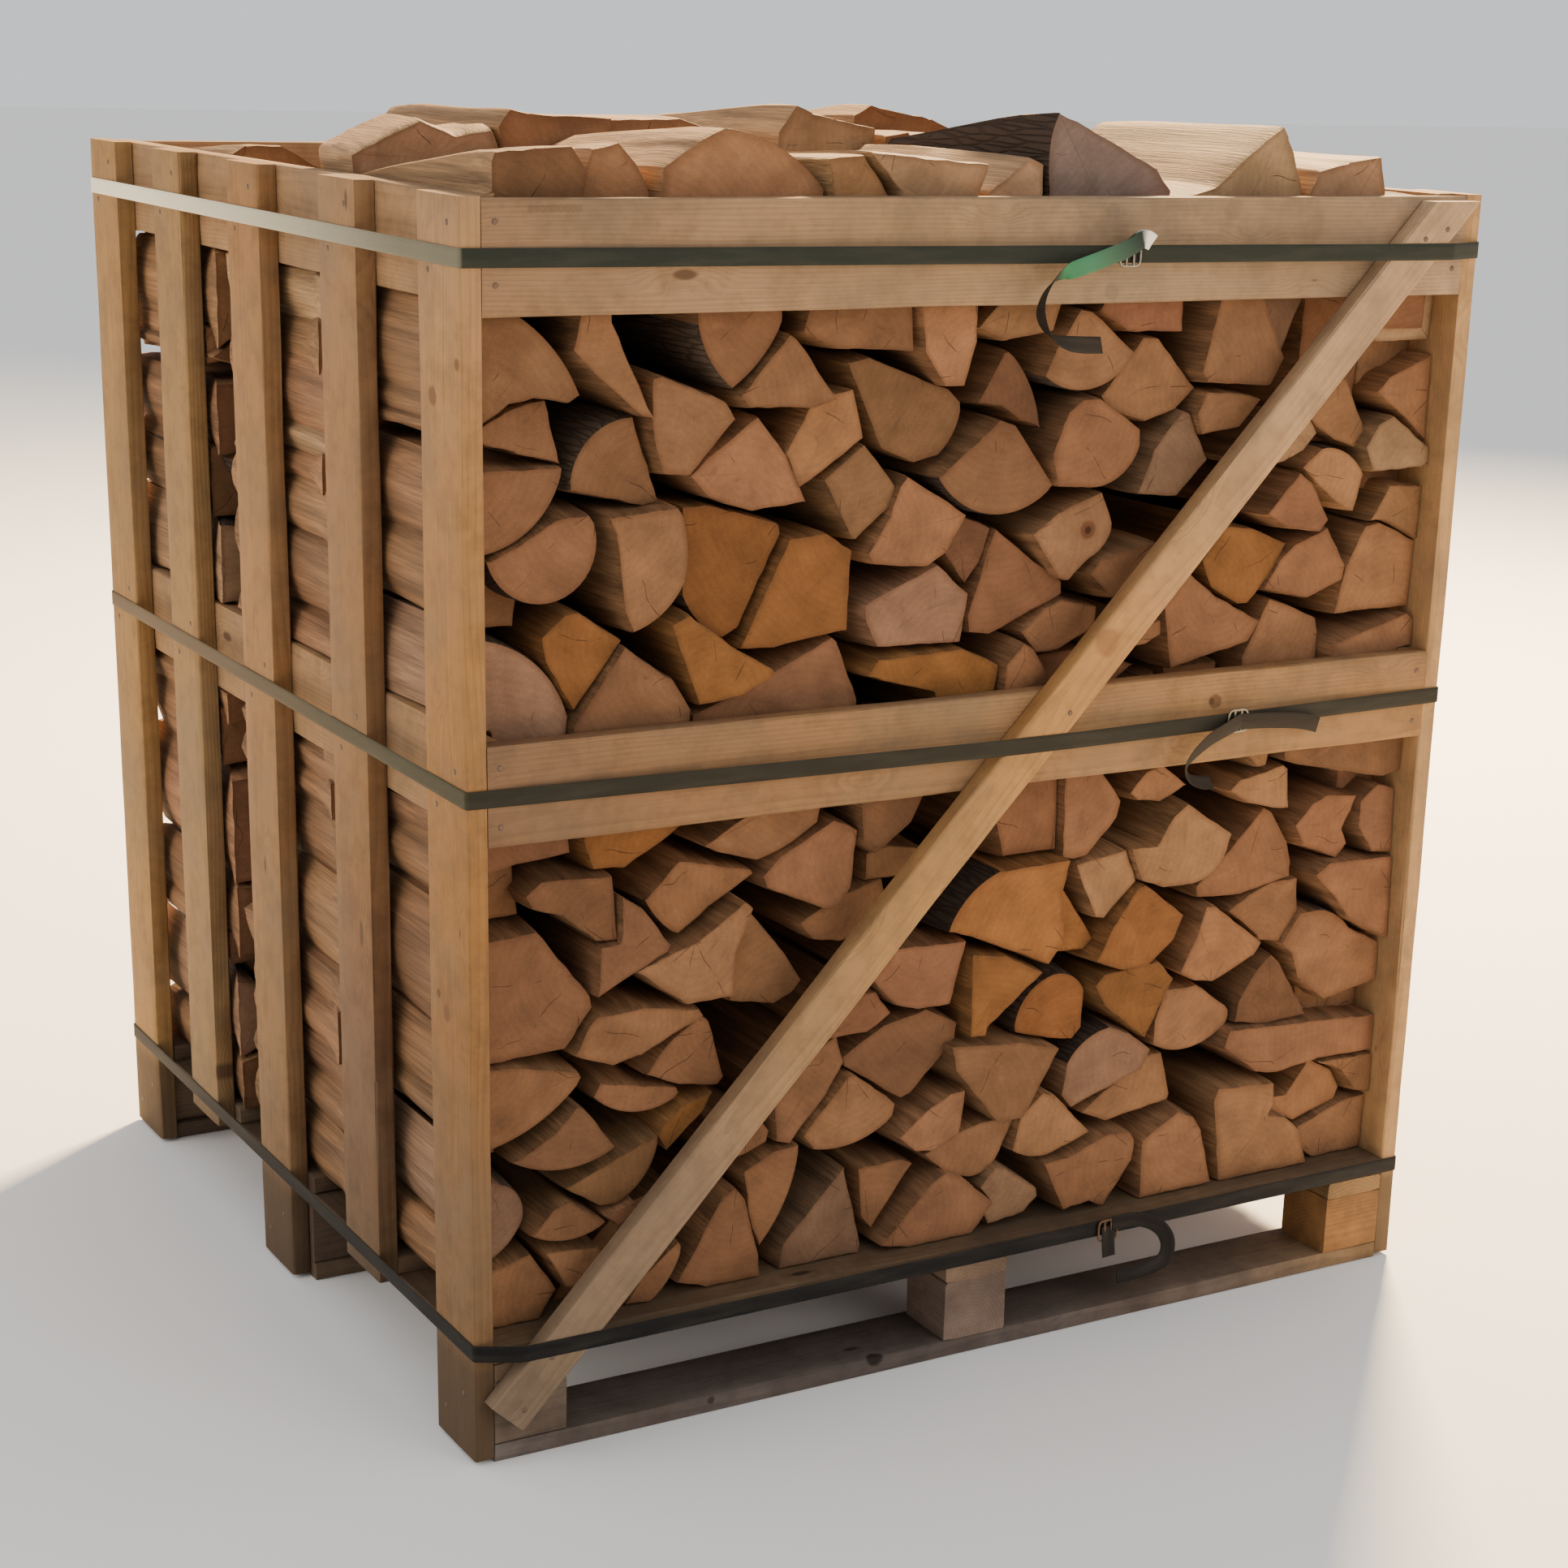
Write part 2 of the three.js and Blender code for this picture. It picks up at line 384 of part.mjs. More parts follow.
// The same in the middle row; the first of them is a short chunk that lies on another log
const topMiddleLogs = [
  [[-552, 1238.3], [-552, 1268], [-515, 1285], [-477, 1301], [-440, 1286], [-400, 1293], [-392, 1273],
    [-396, 1238.3]],
  [[-70, 1170], [-64, 1292], [-42, 1322], [-22, 1314], [9, 1308], [60, 1298], [62, 1170]],
];
const topMiddleFalls = [0, 20];
const topMiddleLengths = [90, LOG_LENGTH];
// Logs on top that belong to the joined rows, and how far those of each row fall to the back
const fixedTopFalls = { front: 0, middle: 12, back: 32 };
const fixedTops = {
  front: [
    [[490, 1105], [496, 1238], [555, 1244], [555, 1105]],
  ],
  middle: [
    [[-552, 1105], [-552, 1238], [-470, 1232], [-392, 1238], [-392, 1105]],
    [[-388, 1105], [-386, 1272], [-392, 1296], [-378, 1314], [-356, 1309], [-260, 1306], [-258, 1105]],
    [[-262, 1105], [-262, 1304], [-179, 1306], [-150, 1298], [-138, 1250], [-140, 1105]],
    [[-142, 1105], [-140, 1255], [-78, 1250], [-76, 1105]],
    [[68, 1105], [70, 1290], [102, 1295], [118, 1268], [118, 1105]],
    [[116, 1105], [116, 1262], [150, 1282], [262, 1286], [264, 1105]],
    [[262, 1105], [268, 1274], [300, 1284], [420, 1282], [432, 1262], [430, 1105]],
    [[428, 1105], [434, 1266], [470, 1280], [552, 1278], [555, 1252], [555, 1105]],
  ],
  back: [
    [[-553, 1105], [-553, 1250], [-536, 1260], [-494, 1260], [-453, 1237], [-448, 1105]],
    [[-450, 1105], [-448, 1215], [-390, 1228], [-300, 1212], [-290, 1105]],
    [[-292, 1105], [-290, 1236], [-240, 1262], [-130, 1252], [-100, 1105]],
    [[-102, 1105], [-104, 1250], [-60, 1281], [10, 1270], [40, 1236], [40, 1105]],
    [[38, 1105], [40, 1244], [110, 1276], [220, 1270], [236, 1105]],
    [[234, 1105], [238, 1300], [262, 1313], [352, 1298], [399, 1280], [402, 1105]],
    [[400, 1105], [404, 1262], [470, 1276], [552, 1258], [555, 1105]],
  ],
};

// An outline with its bulging sides drawn as arcs
function withArcs(corners) {
  const outward = Math.sign(areaOf(corners));
  const points = [];
  corners.forEach(([x, z, bulge], i) => {
    points.push([x, z]);
    if (!bulge) return;
    const [nextX, nextZ] = corners[(i + 1) % corners.length];
    const chord = Math.hypot(nextX - x, nextZ - z);
    const along = [(nextX - x) / chord, (nextZ - z) / chord];
    const out = [outward * along[1], -outward * along[0]];
    const radius = (chord ** 2 / 4 + bulge ** 2) / (2 * bulge);
    const half = 2 * Math.atan2(2 * bulge, chord);
    const pieces = Math.max(2, Math.round(half * 2));
    for (let k = 1; k < pieces; k += 1) {
      const turn = half * (2 * k / pieces - 1);
      const a = chord / 2 + radius * Math.sin(turn);
      const b = bulge - radius * (1 - Math.cos(turn));
      points.push([x + along[0] * a + out[0] * b, z + along[1] * a + out[1] * b]);
    }
  });
  return points;
}

function areaOf(points) {
  return points.reduce((sum, [x, z], i) => {
    const [nextX, nextZ] = points[(i + 1) % points.length];
    return sum + (x * nextZ - nextX * z) / 2;
  }, 0);
}

// An outline moved outward by a distance, so that neighbouring logs touch
function grown(points, distance) {
  const outward = Math.sign(areaOf(points));
  const normal = ([x, z], [nextX, nextZ]) => {
    const length = Math.hypot(nextX - x, nextZ - z);
    return [outward * (nextZ - z) / length, -outward * (nextX - x) / length];
  };
  return points.map((point, i) => {
    const before = normal(points[(i + points.length - 1) % points.length], point);
    const after = normal(point, points[(i + 1) % points.length]);
    const reach = distance / Math.max(0.5, 1 + before[0] * after[0] + before[1] * after[1]);
    return [point[0] + (before[0] + after[0]) * reach, point[1] + (before[1] + after[1]) * reach];
  });
}

// The room for the logs inside slats and rails, as an outline up to the top of the rows
const inside = PALLET_WIDTH / 2 - GAP;
const insideRail = inside - BOARD_THICK;
const roomSteps = [
  [inside, DECK_TOP + GAP],
  [inside, MIDDLE_RAIL_BOTTOM - GAP],
  [insideRail, MIDDLE_RAIL_BOTTOM - GAP],
  [insideRail, MIDDLE_RAIL_BOTTOM + RAIL_WIDTH + GAP],
  [inside, MIDDLE_RAIL_BOTTOM + RAIL_WIDTH + GAP],
  [inside, HEIGHT - RAIL_WIDTH - GAP],
  [insideRail, HEIGHT - RAIL_WIDTH - GAP],
  [insideRail, ROW_TOP],
];
const room = [...roomSteps, ...roomSteps.map(([x, z]) => [-x, z]).reverse()];

// A log on top of a row. Towards its back it sinks by fall, but less near the side rails,
// which hold up the outermost logs
function topLog(corners, start, length, fall) {
  const geometry = prism(corners, start, start + length);
  const points = geometry.attributes.position;
  for (let i = 0; i < points.count; i += 1) {
    if (points.getY(i) < start + length / 2) continue;
    const overRow = THREE.MathUtils.clamp((points.getZ(i) - ROW_TOP) / 60, 0, 1);
    const free = THREE.MathUtils.clamp((insideRail - Math.abs(points.getX(i))) / 40, 0, 1);
    points.setZ(i, points.getZ(i) - fall * overRow * free);
  }
  return geometry;
}

// One row: all logs joined where they touch. Where their ends are seen, every log is
// pushed in by its own small step.
function addRow(place, yFront, mirror, { grow, smallest, frontStep, backStep }) {
  const outer = [...upperLogs, ...lowerLogs].map((corners, i) => [corners, (i * 3) % 4]);
  const deeper = [...hiddenLogs, ...recessedLogs].map((corners) => [corners, 3]);
  const logs = [...outer, ...deeper].filter(([corners]) => Math.abs(areaOf(corners)) > smallest);
  const solids = logs.map(([corners, step]) => {
    const outline = grown(withArcs(corners), grow).map(([x, z]) => [mirror * x, z]);
    return toManifold(prism(outline, yFront + step * frontStep, yFront + ROW_DEPTH - step * backStep));
  });
  const hold = toManifold(prism(room, yFront - 10, yFront + LOG_LENGTH + 40));
  let row = solids.reduce((sum, log) => sum.add(log)).intersect(hold);
  fixedTops[place].forEach((corners, i) => {
    const start = yFront + (i % 4) * frontStep;
    const length = yFront + ROW_DEPTH - (i % 4) * backStep - start;
    row = row.add(toManifold(topLog(corners, start, length, fixedTopFalls[place])));
  });
  addPiece(`logs_${place}_row`, fromManifold(row), firewood);
}

const rowStart = -(DEPTH / 2 - BOARD_THICK - GAP);
addRow('front', rowStart, 1, FRONT_ROW);
addRow('middle', rowStart + ROW_PITCH, -1, MIDDLE_ROW);
addRow('back', rowStart + 2 * ROW_PITCH, 1, BACK_ROW);
topFrontLogs.forEach((corners, i) => {
  const start = rowStart + ((i * 3) % 4) * END_STEP;
  const log = topLog(withArcs(corners), start, LOG_LENGTH, topFrontFalls[i]);
  addPiece(`log_top_front_${i + 1}`, log, firewood);
});
topMiddleLogs.forEach((corners, i) => {
  const start = rowStart + ROW_PITCH + i * END_STEP;
  const log = topLog(corners, start, topMiddleLengths[i], topMiddleFalls[i]);
  addPiece(`log_top_middle_${i + 1}`, log, firewood);
});

// Straps: a band drawn tight round the corner slats and over the two braces
function strapOutline(height, away) {
  const onBrace = (height - BRACE_FOOT[1]) / Math.tan(braceSlope) + BRACE_FOOT[0];
  const reach = BRACE_WIDTH / 2 / Math.sin(braceSlope) + STRAP_WIDTH / 2 / Math.tan(braceSlope) + 4;
  const x = WIDTH / 2 + away;
  const y = DEPTH / 2 + away;
  const yBrace = DEPTH / 2 + BOARD_THICK + away;
  const front = [[-x, -y], [onBrace - reach, -yBrace], [onBrace + reach, -yBrace], [x, -y]];
  return [...front, ...front.map(([px, py]) => [-px, -py])];
}

function levelPlate(points, zLow, zHigh) {
  const shape = new THREE.Shape(points.map(([x, y]) => new THREE.Vector2(x, y)));
  const geometry = new THREE.ExtrudeGeometry(shape, { depth: zHigh - zLow, bevelEnabled: false });
  return geometry.translate(0, 0, zLow);
}

// A line of [x, z] points given a thickness
function thickened(line, thickness) {
  const half = thickness / 2;
  const sides = line.map(([x, z], i) => {
    const [fromX, fromZ] = line[Math.max(i - 1, 0)];
    const [toX, toZ] = line[Math.min(i + 1, line.length - 1)];
    const length = Math.hypot(toX - fromX, toZ - fromZ);
    const across = [-(toZ - fromZ) / length * half, (toX - fromX) / length * half];
    return [[x + across[0], z + across[1]], [x - across[0], z - across[1]]];
  });
  return [...sides.map((side) => side[0]), ...sides.map((side) => side[1]).reverse()];
}

// Each strap has its wire buckle, and past it the free end of the strap. Where the free
// end lies flat its broad side faces forward, where it curls its edge does.
const straps = {
  top: {
    height: 1194, fall: -5, buckle: [120, 1194],
    flats: [[[114, 1195], [156, 1213]], [[154, 1209], [130, 1199], [40, 1176]], [[38, 1109], [86, 1105]]],
    curls: [[[44, 1178], [34, 1175], [24, 1167], [13, 1153], [11, 1135], [21, 1117], [38, 1109]]],
  },
  middle: {
    height: 696.5, fall: -2, buckle: [300, 696],
    flats: [[[292, 695], [340, 693], [378, 689], [412, 681]]],
    curls: [[[304, 696], [285, 690], [259, 680], [236, 665], [227, 652], [232, 640], [247, 634],
      [262, 633]]],
  },
  bottom: {
    height: 122.5, fall: -7, buckle: [167, 119],
    flats: [
      [[167, 132], [167, 88]],
      [[172, 127], [200, 128], [224, 120], [239, 106], [245, 90], [241, 75], [226, 68], [200, 65],
        [175, 65]],
    ],
    curls: [],
  },
};
const BUCKLE_WIDTH = 28;
const BUCKLE_HEIGHT = 27;
const BUCKLE_CORNER = 5;
const BUCKLE_CLEAR = 1;

function roundedOutline([x, z], width, height, radius) {
  const corners = [[1, 1], [-1, 1], [-1, -1], [1, -1]];
  return corners.flatMap(([sx, sz], quarter) => [0, 1, 2, 3].map((step) => {
    const turn = (quarter + step / 3) * Math.PI / 2;
    return [
      x + sx * (width / 2 - radius) + radius * Math.cos(turn),
      z + sz * (height / 2 - radius) + radius * Math.sin(turn),
    ];
  }));
}

for (const [level, strap] of Object.entries(straps)) {
  const low = strap.height - STRAP_WIDTH / 2;
  const high = strap.height + STRAP_WIDTH / 2;
  const outerBand = toManifold(levelPlate(strapOutline(strap.height, GAP + STRAP_THICK), low, high));
  const bore = toManifold(levelPlate(strapOutline(strap.height, GAP), low - 1, high + 1));
  const band = fromManifold(outerBand.subtract(bore));
  const tilt = strap.fall / WIDTH;
  band.applyMatrix4(new THREE.Matrix4().set(1, 0, 0, 0, 0, 1, 0, 0, tilt, 0, 1, 0, 0, 0, 0, 1));

  // Where the buckle sits on the band: on the slope between brace and corner slat
  const [[cornerX, cornerY], [leftX, braceY], [rightX]] = strapOutline(strap.height, GAP + STRAP_THICK);
  const [buckleX] = strap.buckle;
  const run = buckleX < leftX
    ? (buckleX - cornerX) / (leftX - cornerX)
    : (cornerX + buckleX) / (cornerX + rightX);
  const bandY = cornerY + (braceY - cornerY) * run;
  const wireFront = bandY - BUCKLE_CLEAR - WIRE;
  const flatFront = wireFront - GAP - STRAP_THICK;

  const wireOuter = roundedOutline(strap.buckle, BUCKLE_WIDTH, BUCKLE_HEIGHT, BUCKLE_CORNER);
  const wireInner = roundedOutline(strap.buckle, BUCKLE_WIDTH - 2 * WIRE, BUCKLE_HEIGHT - 2 * WIRE, 2);
  const wire = toManifold(prism(wireOuter, wireFront, wireFront + WIRE));
  const eye = toManifold(prism(wireInner, wireFront - 1, wireFront + WIRE + 1));
  addPiece(`buckle_${level}`, fromManifold(wire.subtract(eye)), steelWire);

  const lead = roundedOutline([buckleX, strap.height + 1], 8, 6, 1);
  const loose = [
    toManifold(prism(lead, flatFront + 0.5, bandY + 0.5)),
    ...strap.flats.map((line) => toManifold(
      prism(thickened(line, STRAP_WIDTH), flatFront, flatFront + STRAP_THICK))),
    ...strap.curls.map((line) => toManifold(
      prism(thickened(line, STRAP_THICK), flatFront + 0.8 - STRAP_WIDTH, flatFront + 0.8))),
  ];
  const whole = loose.reduce((sum, part) => sum.add(part), toManifold(band));
  addPiece(`strap_${level}`, fromManifold(whole), webbing);
}

export default crate;
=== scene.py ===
from math import radians

import bpy
import numpy as np
from mathutils import Matrix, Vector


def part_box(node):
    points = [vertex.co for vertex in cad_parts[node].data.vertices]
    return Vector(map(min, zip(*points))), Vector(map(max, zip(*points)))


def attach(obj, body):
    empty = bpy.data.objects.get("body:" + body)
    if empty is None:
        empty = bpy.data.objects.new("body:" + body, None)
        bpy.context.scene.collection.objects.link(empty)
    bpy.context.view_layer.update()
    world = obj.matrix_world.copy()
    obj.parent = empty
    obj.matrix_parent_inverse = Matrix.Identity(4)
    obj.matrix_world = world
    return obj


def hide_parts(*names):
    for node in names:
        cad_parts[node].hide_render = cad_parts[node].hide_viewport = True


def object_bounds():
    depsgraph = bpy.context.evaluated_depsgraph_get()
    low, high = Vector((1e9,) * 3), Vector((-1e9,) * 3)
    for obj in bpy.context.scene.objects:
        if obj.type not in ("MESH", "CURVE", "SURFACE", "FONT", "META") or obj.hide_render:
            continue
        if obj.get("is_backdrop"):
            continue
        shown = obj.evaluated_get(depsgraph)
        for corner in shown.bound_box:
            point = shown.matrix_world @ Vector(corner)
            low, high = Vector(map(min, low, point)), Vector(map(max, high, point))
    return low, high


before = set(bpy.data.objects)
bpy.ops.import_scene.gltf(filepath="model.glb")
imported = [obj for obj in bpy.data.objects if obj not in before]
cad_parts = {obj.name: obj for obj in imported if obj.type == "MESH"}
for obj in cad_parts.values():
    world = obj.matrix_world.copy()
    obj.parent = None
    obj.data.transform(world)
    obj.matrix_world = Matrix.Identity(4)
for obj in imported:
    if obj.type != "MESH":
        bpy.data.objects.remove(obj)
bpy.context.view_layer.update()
MM = 0.001

# Pallet: three bottom boards, nine blocks, three stringers and five deck boards of sawn
# softwood, grey and brown with dirt from use. Each is a plain sawn length, nailed to the
# next one, with its arrises worn round.
PALLET_PREFIXES = ("bottom_board", "block", "stringer", "deck_board")
ARRIS = 2.2 * MM
STATION = 45 * MM
RING_SPACING = 4.2 * MM
KNOT_CELL = (110 * MM, 300 * MM)
# One tint to a piece, in the order of their names: blocks, bottom boards, deck boards, stringers
# The darker tint of block_left_front is painted shade from the brace's foot and the bottom strap
PALLET_TINTS = [
    "#6f5a46", "#5f4d3e", "#69594a", "#84705a", "#7b654e", "#7d685a", "#6a5643", "#5f4d3e",
    "#9b6d3f", "#5f4d3e", "#6a5643", "#5c5047", "#65503a", "#6f5a46", "#665341", "#84705a",
    "#5f4d3e", "#66523f", "#886f59", "#5f4d3e",
]
# Painted light: the front bottom board gets lighter and browner towards its right end, where
# the sun from the right reaches it, and so does the right stringer towards the front.
PAINTED_SUN_GRADIENTS = {
    "bottom_board_front": ["#6f635b", "#61564f", "#544a44", "#5e524a", "#7a6656", "#97764f"],
    "stringer_right": ["#96744a", "#5f4d3e", "#5f4d3e", "#5f4d3e"],
}
# Knots and stains: x, y, z and radius in mm, how much of the wood they cover, and their colour
PALLET_KNOTS = [
    (-128, -556, 20, 11, 0.9, "#1d1510"),
    (-330, -556, 14, 5, 0.7, "#2a1f17"),
]


def linear(hex_colour):
    """An sRGB hex colour as linear red, green, blue and 1."""
    value = np.array([int(hex_colour[i:i + 2], 16) for i in (1, 3, 5)]) / 255
    value = np.where(value <= 0.04045, value / 12.92, ((value + 0.055) / 1.055) ** 2.4)
    return (*value, 1.0)


def gradient(share, places, tints):
    """The colour at each share, straight between tints that stand at places from 0 to 1."""
    stops = np.array([linear(tint) for tint in tints])
    return np.stack([np.interp(share, places, stops[:, k]) for k in range(4)], -1)


def node(tree, kind, inputs=None, **settings):
    """Adds a node to a tree, with its settings and its inputs' values or links."""
    made = tree.nodes.new(kind)
    for name, value in settings.items():
        setattr(made, name, value)
    for name, value in (inputs or {}).items():
        socket = made.inputs[name]
        if isinstance(value, bpy.types.NodeSocket):
            tree.links.new(value, socket)
        else:
            socket.default_value = value
    return made


def attribute(tree, name, output="Vector"):
    """An attribute of the mesh, as a vector, a colour or a number."""
    return node(tree, "ShaderNodeAttribute", attribute_name=name).outputs[output]


def position(tree):
    """The place in the object, in metres."""
    return node(tree, "ShaderNodeTexCoord").outputs["Object"]


def parts_of(tree, vector):
    """The three numbers of a vector."""
    return node(tree, "ShaderNodeSeparateXYZ", {0: vector}).outputs


def pair(tree, first, second):
    """A vector of two numbers and 0."""
    return node(tree, "ShaderNodeCombineXYZ", {0: first, 1: second}).outputs[0]


def times(tree, vector, factors):
    """A vector with each of its numbers multiplied by its own factor."""
    return node(tree, "ShaderNodeVectorMath", {0: vector, 1: factors}, operation="MULTIPLY").outputs[0]


def length_of(tree, vector):
    """How long a vector is."""
    return node(tree, "ShaderNodeVectorMath", {0: vector}, operation="LENGTH").outputs["Value"]


def maths(tree, operation, *values):
    """The result of one operation on numbers."""
    return node(tree, "ShaderNodeMath", dict(enumerate(values)), operation=operation).outputs[0]


def mapped(tree, value, low, high, to_low=0.0, to_high=1.0, kind="LINEAR"):
    """A number moved from the range low, high to the range to_low, to_high, and held there."""
    return node(tree, "ShaderNodeMapRange", {0: value, 1: low, 2: high, 3: to_low, 4: to_high},
                interpolation_type=kind).outputs[0]


def noise(tree, place, scale, detail, roughness=0.5):
    """Smooth noise around 0.5, in lumps of about 1 / scale."""
    return node(tree, "ShaderNodeTexNoise", {"Vector": place, "Scale": scale, "Detail": detail,
                                             "Roughness": roughness}).outputs["Fac"]


def mixed(tree, share, ground, cover, blend="MIX"):
    """A share of one colour over another."""
    return node(tree, "ShaderNodeMix", {0: share, 6: ground, 7: cover}, data_type="RGBA",
                blend_type=blend).outputs[2]


def new_material(name, roughness, specular=0.5, metallic=0.0):
    """A material with a Principled shader, its node tree and that shader."""
    material = bpy.data.materials.new(name)
    material.use_nodes = True
    tree = material.node_tree
    tree.nodes.clear()
    surface = node(tree, "ShaderNodeBsdfPrincipled", {"Roughness": roughness, "Metallic": metallic,
                                                      "Specular IOR Level": specular})
    output = node(tree, "ShaderNodeOutputMaterial")
    tree.links.new(surface.outputs[0], output.inputs[0])
    return material, tree, surface


def set_surface(tree, surface, colour, height, strength, depth):
    """Gives a shader its colour and the relief of a height, depth deep where that goes by 1."""
    tree.links.new(colour, surface.inputs["Base Color"])
    bump = node(tree, "ShaderNodeBump", {"Height": height, "Strength": strength, "Distance": depth})
    tree.links.new(bump.outputs[0], surface.inputs["Normal"])


def loft(rings):
    """Vertices and faces of a closed surface through rings[i, j]: i runs along the piece and j
    anticlockwise round it as seen from its start. A centre point closes each end with a fan."""
    count, around = rings.shape[:2]
    points = np.concatenate([rings.reshape(-1, 3), [rings[0].mean(0)], [rings[-1].mean(0)]])
    i, j = np.meshgrid(np.arange(count - 1), np.arange(around), indexing="ij")
    k = (j + 1) % around
    quads = np.stack([i * around + j, (i + 1) * around + j, (i + 1) * around + k, i * around + k], -1)
    turn = np.arange(around)
    after = (turn + 1) % around
    first, last = count * around, count * around + 1
    start = np.stack([np.full(around, first), turn, after], -1)
    top = (count - 1) * around
    end = np.stack([np.full(around, last), top + after, top + turn], -1)
    return points, quads.reshape(-1, 4), np.concatenate([start, end])


def add_mesh(name, points, faces, attributes=None, sharp_angle=40):
    """A new object from points and lists of face corners, with vertex attributes by name."""
    mesh = bpy.data.meshes.new(name)
    mesh.from_pydata(points, [], faces)
    for key, values in (attributes or {}).items():
        kind = "FLOAT_COLOR" if values.shape[1] == 4 else "FLOAT_VECTOR"
        field = "color" if kind == "FLOAT_COLOR" else "vector"
        layer = mesh.attributes.new(key, kind, "POINT")
        layer.data.foreach_set(field, np.ascontiguousarray(values, np.float32).ravel())
    mesh.polygons.foreach_set("use_smooth", np.ones(len(mesh.polygons), bool))
    mesh.set_sharp_from_angle(angle=radians(sharp_angle))
    piece = bpy.data.objects.new(name, mesh)
    bpy.context.scene.collection.objects.link(piece)
    return piece


def rounded_section(width, thick, radius):
    """A rectangle with quarter-circle corners: corner + radius (cos a, sin a), three points a
    corner, and points between the corners of the wide sides at even steps."""
    arc = np.linspace(0, np.pi / 2, 3)
    corners = []
    for quarter, (sx, sy) in enumerate([(1, 1), (-1, 1), (-1, -1), (1, -1)]):
        turn = arc + quarter * np.pi / 2
        centre = np.array([sx * (width / 2 - radius), sy * (thick / 2 - radius)])
        corners.append(centre + radius * np.stack([np.cos(turn), np.sin(turn)], -1))
        if quarter in (0, 2):
            steps = np.linspace(1, -1, 7)[1:-1, None] * sx * (width / 2 - radius)
            corners.append(np.concatenate([steps, np.full_like(steps, sy * thick / 2)], 1))
    return np.concatenate(corners)


def board_rings(length, width, thick, rng, wear=1.4 * MM):
    """Sections of a sawn board as (along, across, deep). A rounded section goes along the board,
    and its points move in by wear n(along), where n is a smooth random curve from 0 to 1 of its
    own for each, so the arrises look knocked. grain, as (across, deep, along), is the place in
    the tree, whose rings lie round a heart at a random distance below the board."""
    section = rounded_section(width, thick, min(ARRIS, thick / 5))
    along = np.linspace(0, length, max(4, int(length / STATION) + 1))
    coarse = rng.random((max(3, len(along) // 2), len(section))) ** 3
    rows = np.linspace(0, len(coarse) - 1.001, len(along))
    lower = rows.astype(int)
    part = (rows - lower)[:, None]
    dent = coarse[lower] * (1 - part) + coarse[lower + 1] * part
    outermost = np.abs(section[:, 0]) > width / 2 - 2 * ARRIS
    inward = 1 - (dent * wear * outermost)[..., None] / np.array([width / 2, thick / 2])
    across, deep = section[:, 0] * inward[..., 0], section[:, 1] * inward[..., 1]
    along = np.broadcast_to(along[:, None], across.shape)
    heart = [rng.uniform(-0.3, 0.3) * width, rng.uniform(12, 60) * MM, rng.uniform(0, 9)]
    grain = np.stack([across, deep, along], -1) + heart
    return np.stack([along, across, deep], -1), grain


def placed(rings, grain, axes, origin):
    """Rings of (along, across, deep) put in place: origin + rings @ axes, closed and outward."""
    if np.linalg.det(axes) < 0:
        rings, grain = rings[:, ::-1], grain[:, ::-1]
    points, quads, fans = loft(rings @ axes + origin)
    grain = np.concatenate([grain.reshape(-1, 3), [grain[0].mean(0)], [grain[-1].mean(0)]])
    return points, quads.tolist() + fans.tolist(), grain


def sawn_length(low, high, rng):
    """A sawn board that fills the box between two corners, with its length on the longest side."""
    low, high = np.array(low), np.array(high)
    size = high - low
    order = np.argsort(-size, kind="stable")
    rings, grain = board_rings(*size[order], rng)
    origin = (low + high) / 2
    origin[order[0]] = low[order[0]]
    return placed(rings, grain, np.eye(3)[order], origin)


def wood_figure(tree):
    """The pattern of a softwood board from its grain attribute (across, deep, along): rings by
    the distance from the heart, bent round knots, fine fibres that run along it, and the knots,
    at most one to a cell of 110 by 300 mm."""
    grain = attribute(tree, "grain")
    across, deep, along = parts_of(tree, grain)
    cells = times(tree, pair(tree, across, along), (1 / KNOT_CELL[0], 1 / KNOT_CELL[1], 1))
    knot = node(tree, "ShaderNodeTexVoronoi", {"Vector": cells, "Scale": 1.0, "Randomness": 0.9},
                voronoi_dimensions="2D")
    chosen = node(tree, "ShaderNodeSeparateColor", {0: knot.outputs["Color"]}).outputs[0]
    size = mapped(tree, chosen, 0.7, 1.0, 0.0, 0.06)
    depth = maths(tree, "SUBTRACT", size, knot.outputs["Distance"])
    near = mapped(tree, depth, -0.16, 0.0, 0.0, 11 * MM, "SMOOTHSTEP")
    drift = noise(tree, times(tree, grain, (9, 9, 1.4)), 1.0, 2.0)
    reach = length_of(tree, pair(tree, across, deep))
    bent = maths(tree, "MULTIPLY_ADD", drift, 30 * MM, reach)
    turns = maths(tree, "MULTIPLY", maths(tree, "ADD", bent, near), 1 / RING_SPACING)
    late = mapped(tree, maths(tree, "FRACT", turns), 0.35, 0.95, kind="SMOOTHSTEP")
    fibre = noise(tree, times(tree, grain, (900, 900, 14)), 1.0, 3.0, 0.65)
    return late, fibre, mapped(tree, depth, 0.0, 0.02)


def spots(tree, places, ground):
    """Mixes a share of a colour over ground at each place (x, y, z, radius in mm, share, colour),
    by the distance from there, with noise on it so that the edge isn't round."""
    here = position(tree)
    ragged = noise(tree, here, 90.0, 2.0)
    for x, y, z, radius, share, colour in places:
        away = node(tree, "ShaderNodeVectorMath", {0: here, 1: (x * MM, y * MM, z * MM)},
                    operation="DISTANCE").outputs["Value"]
        reach = maths(tree, "MULTIPLY_ADD", ragged, 0.5 * radius * MM, away)
        cover = mapped(tree, reach, radius * MM, 1.35 * radius * MM, share, 0.0)
        ground = mixed(tree, cover, ground, linear(colour))
    return ground


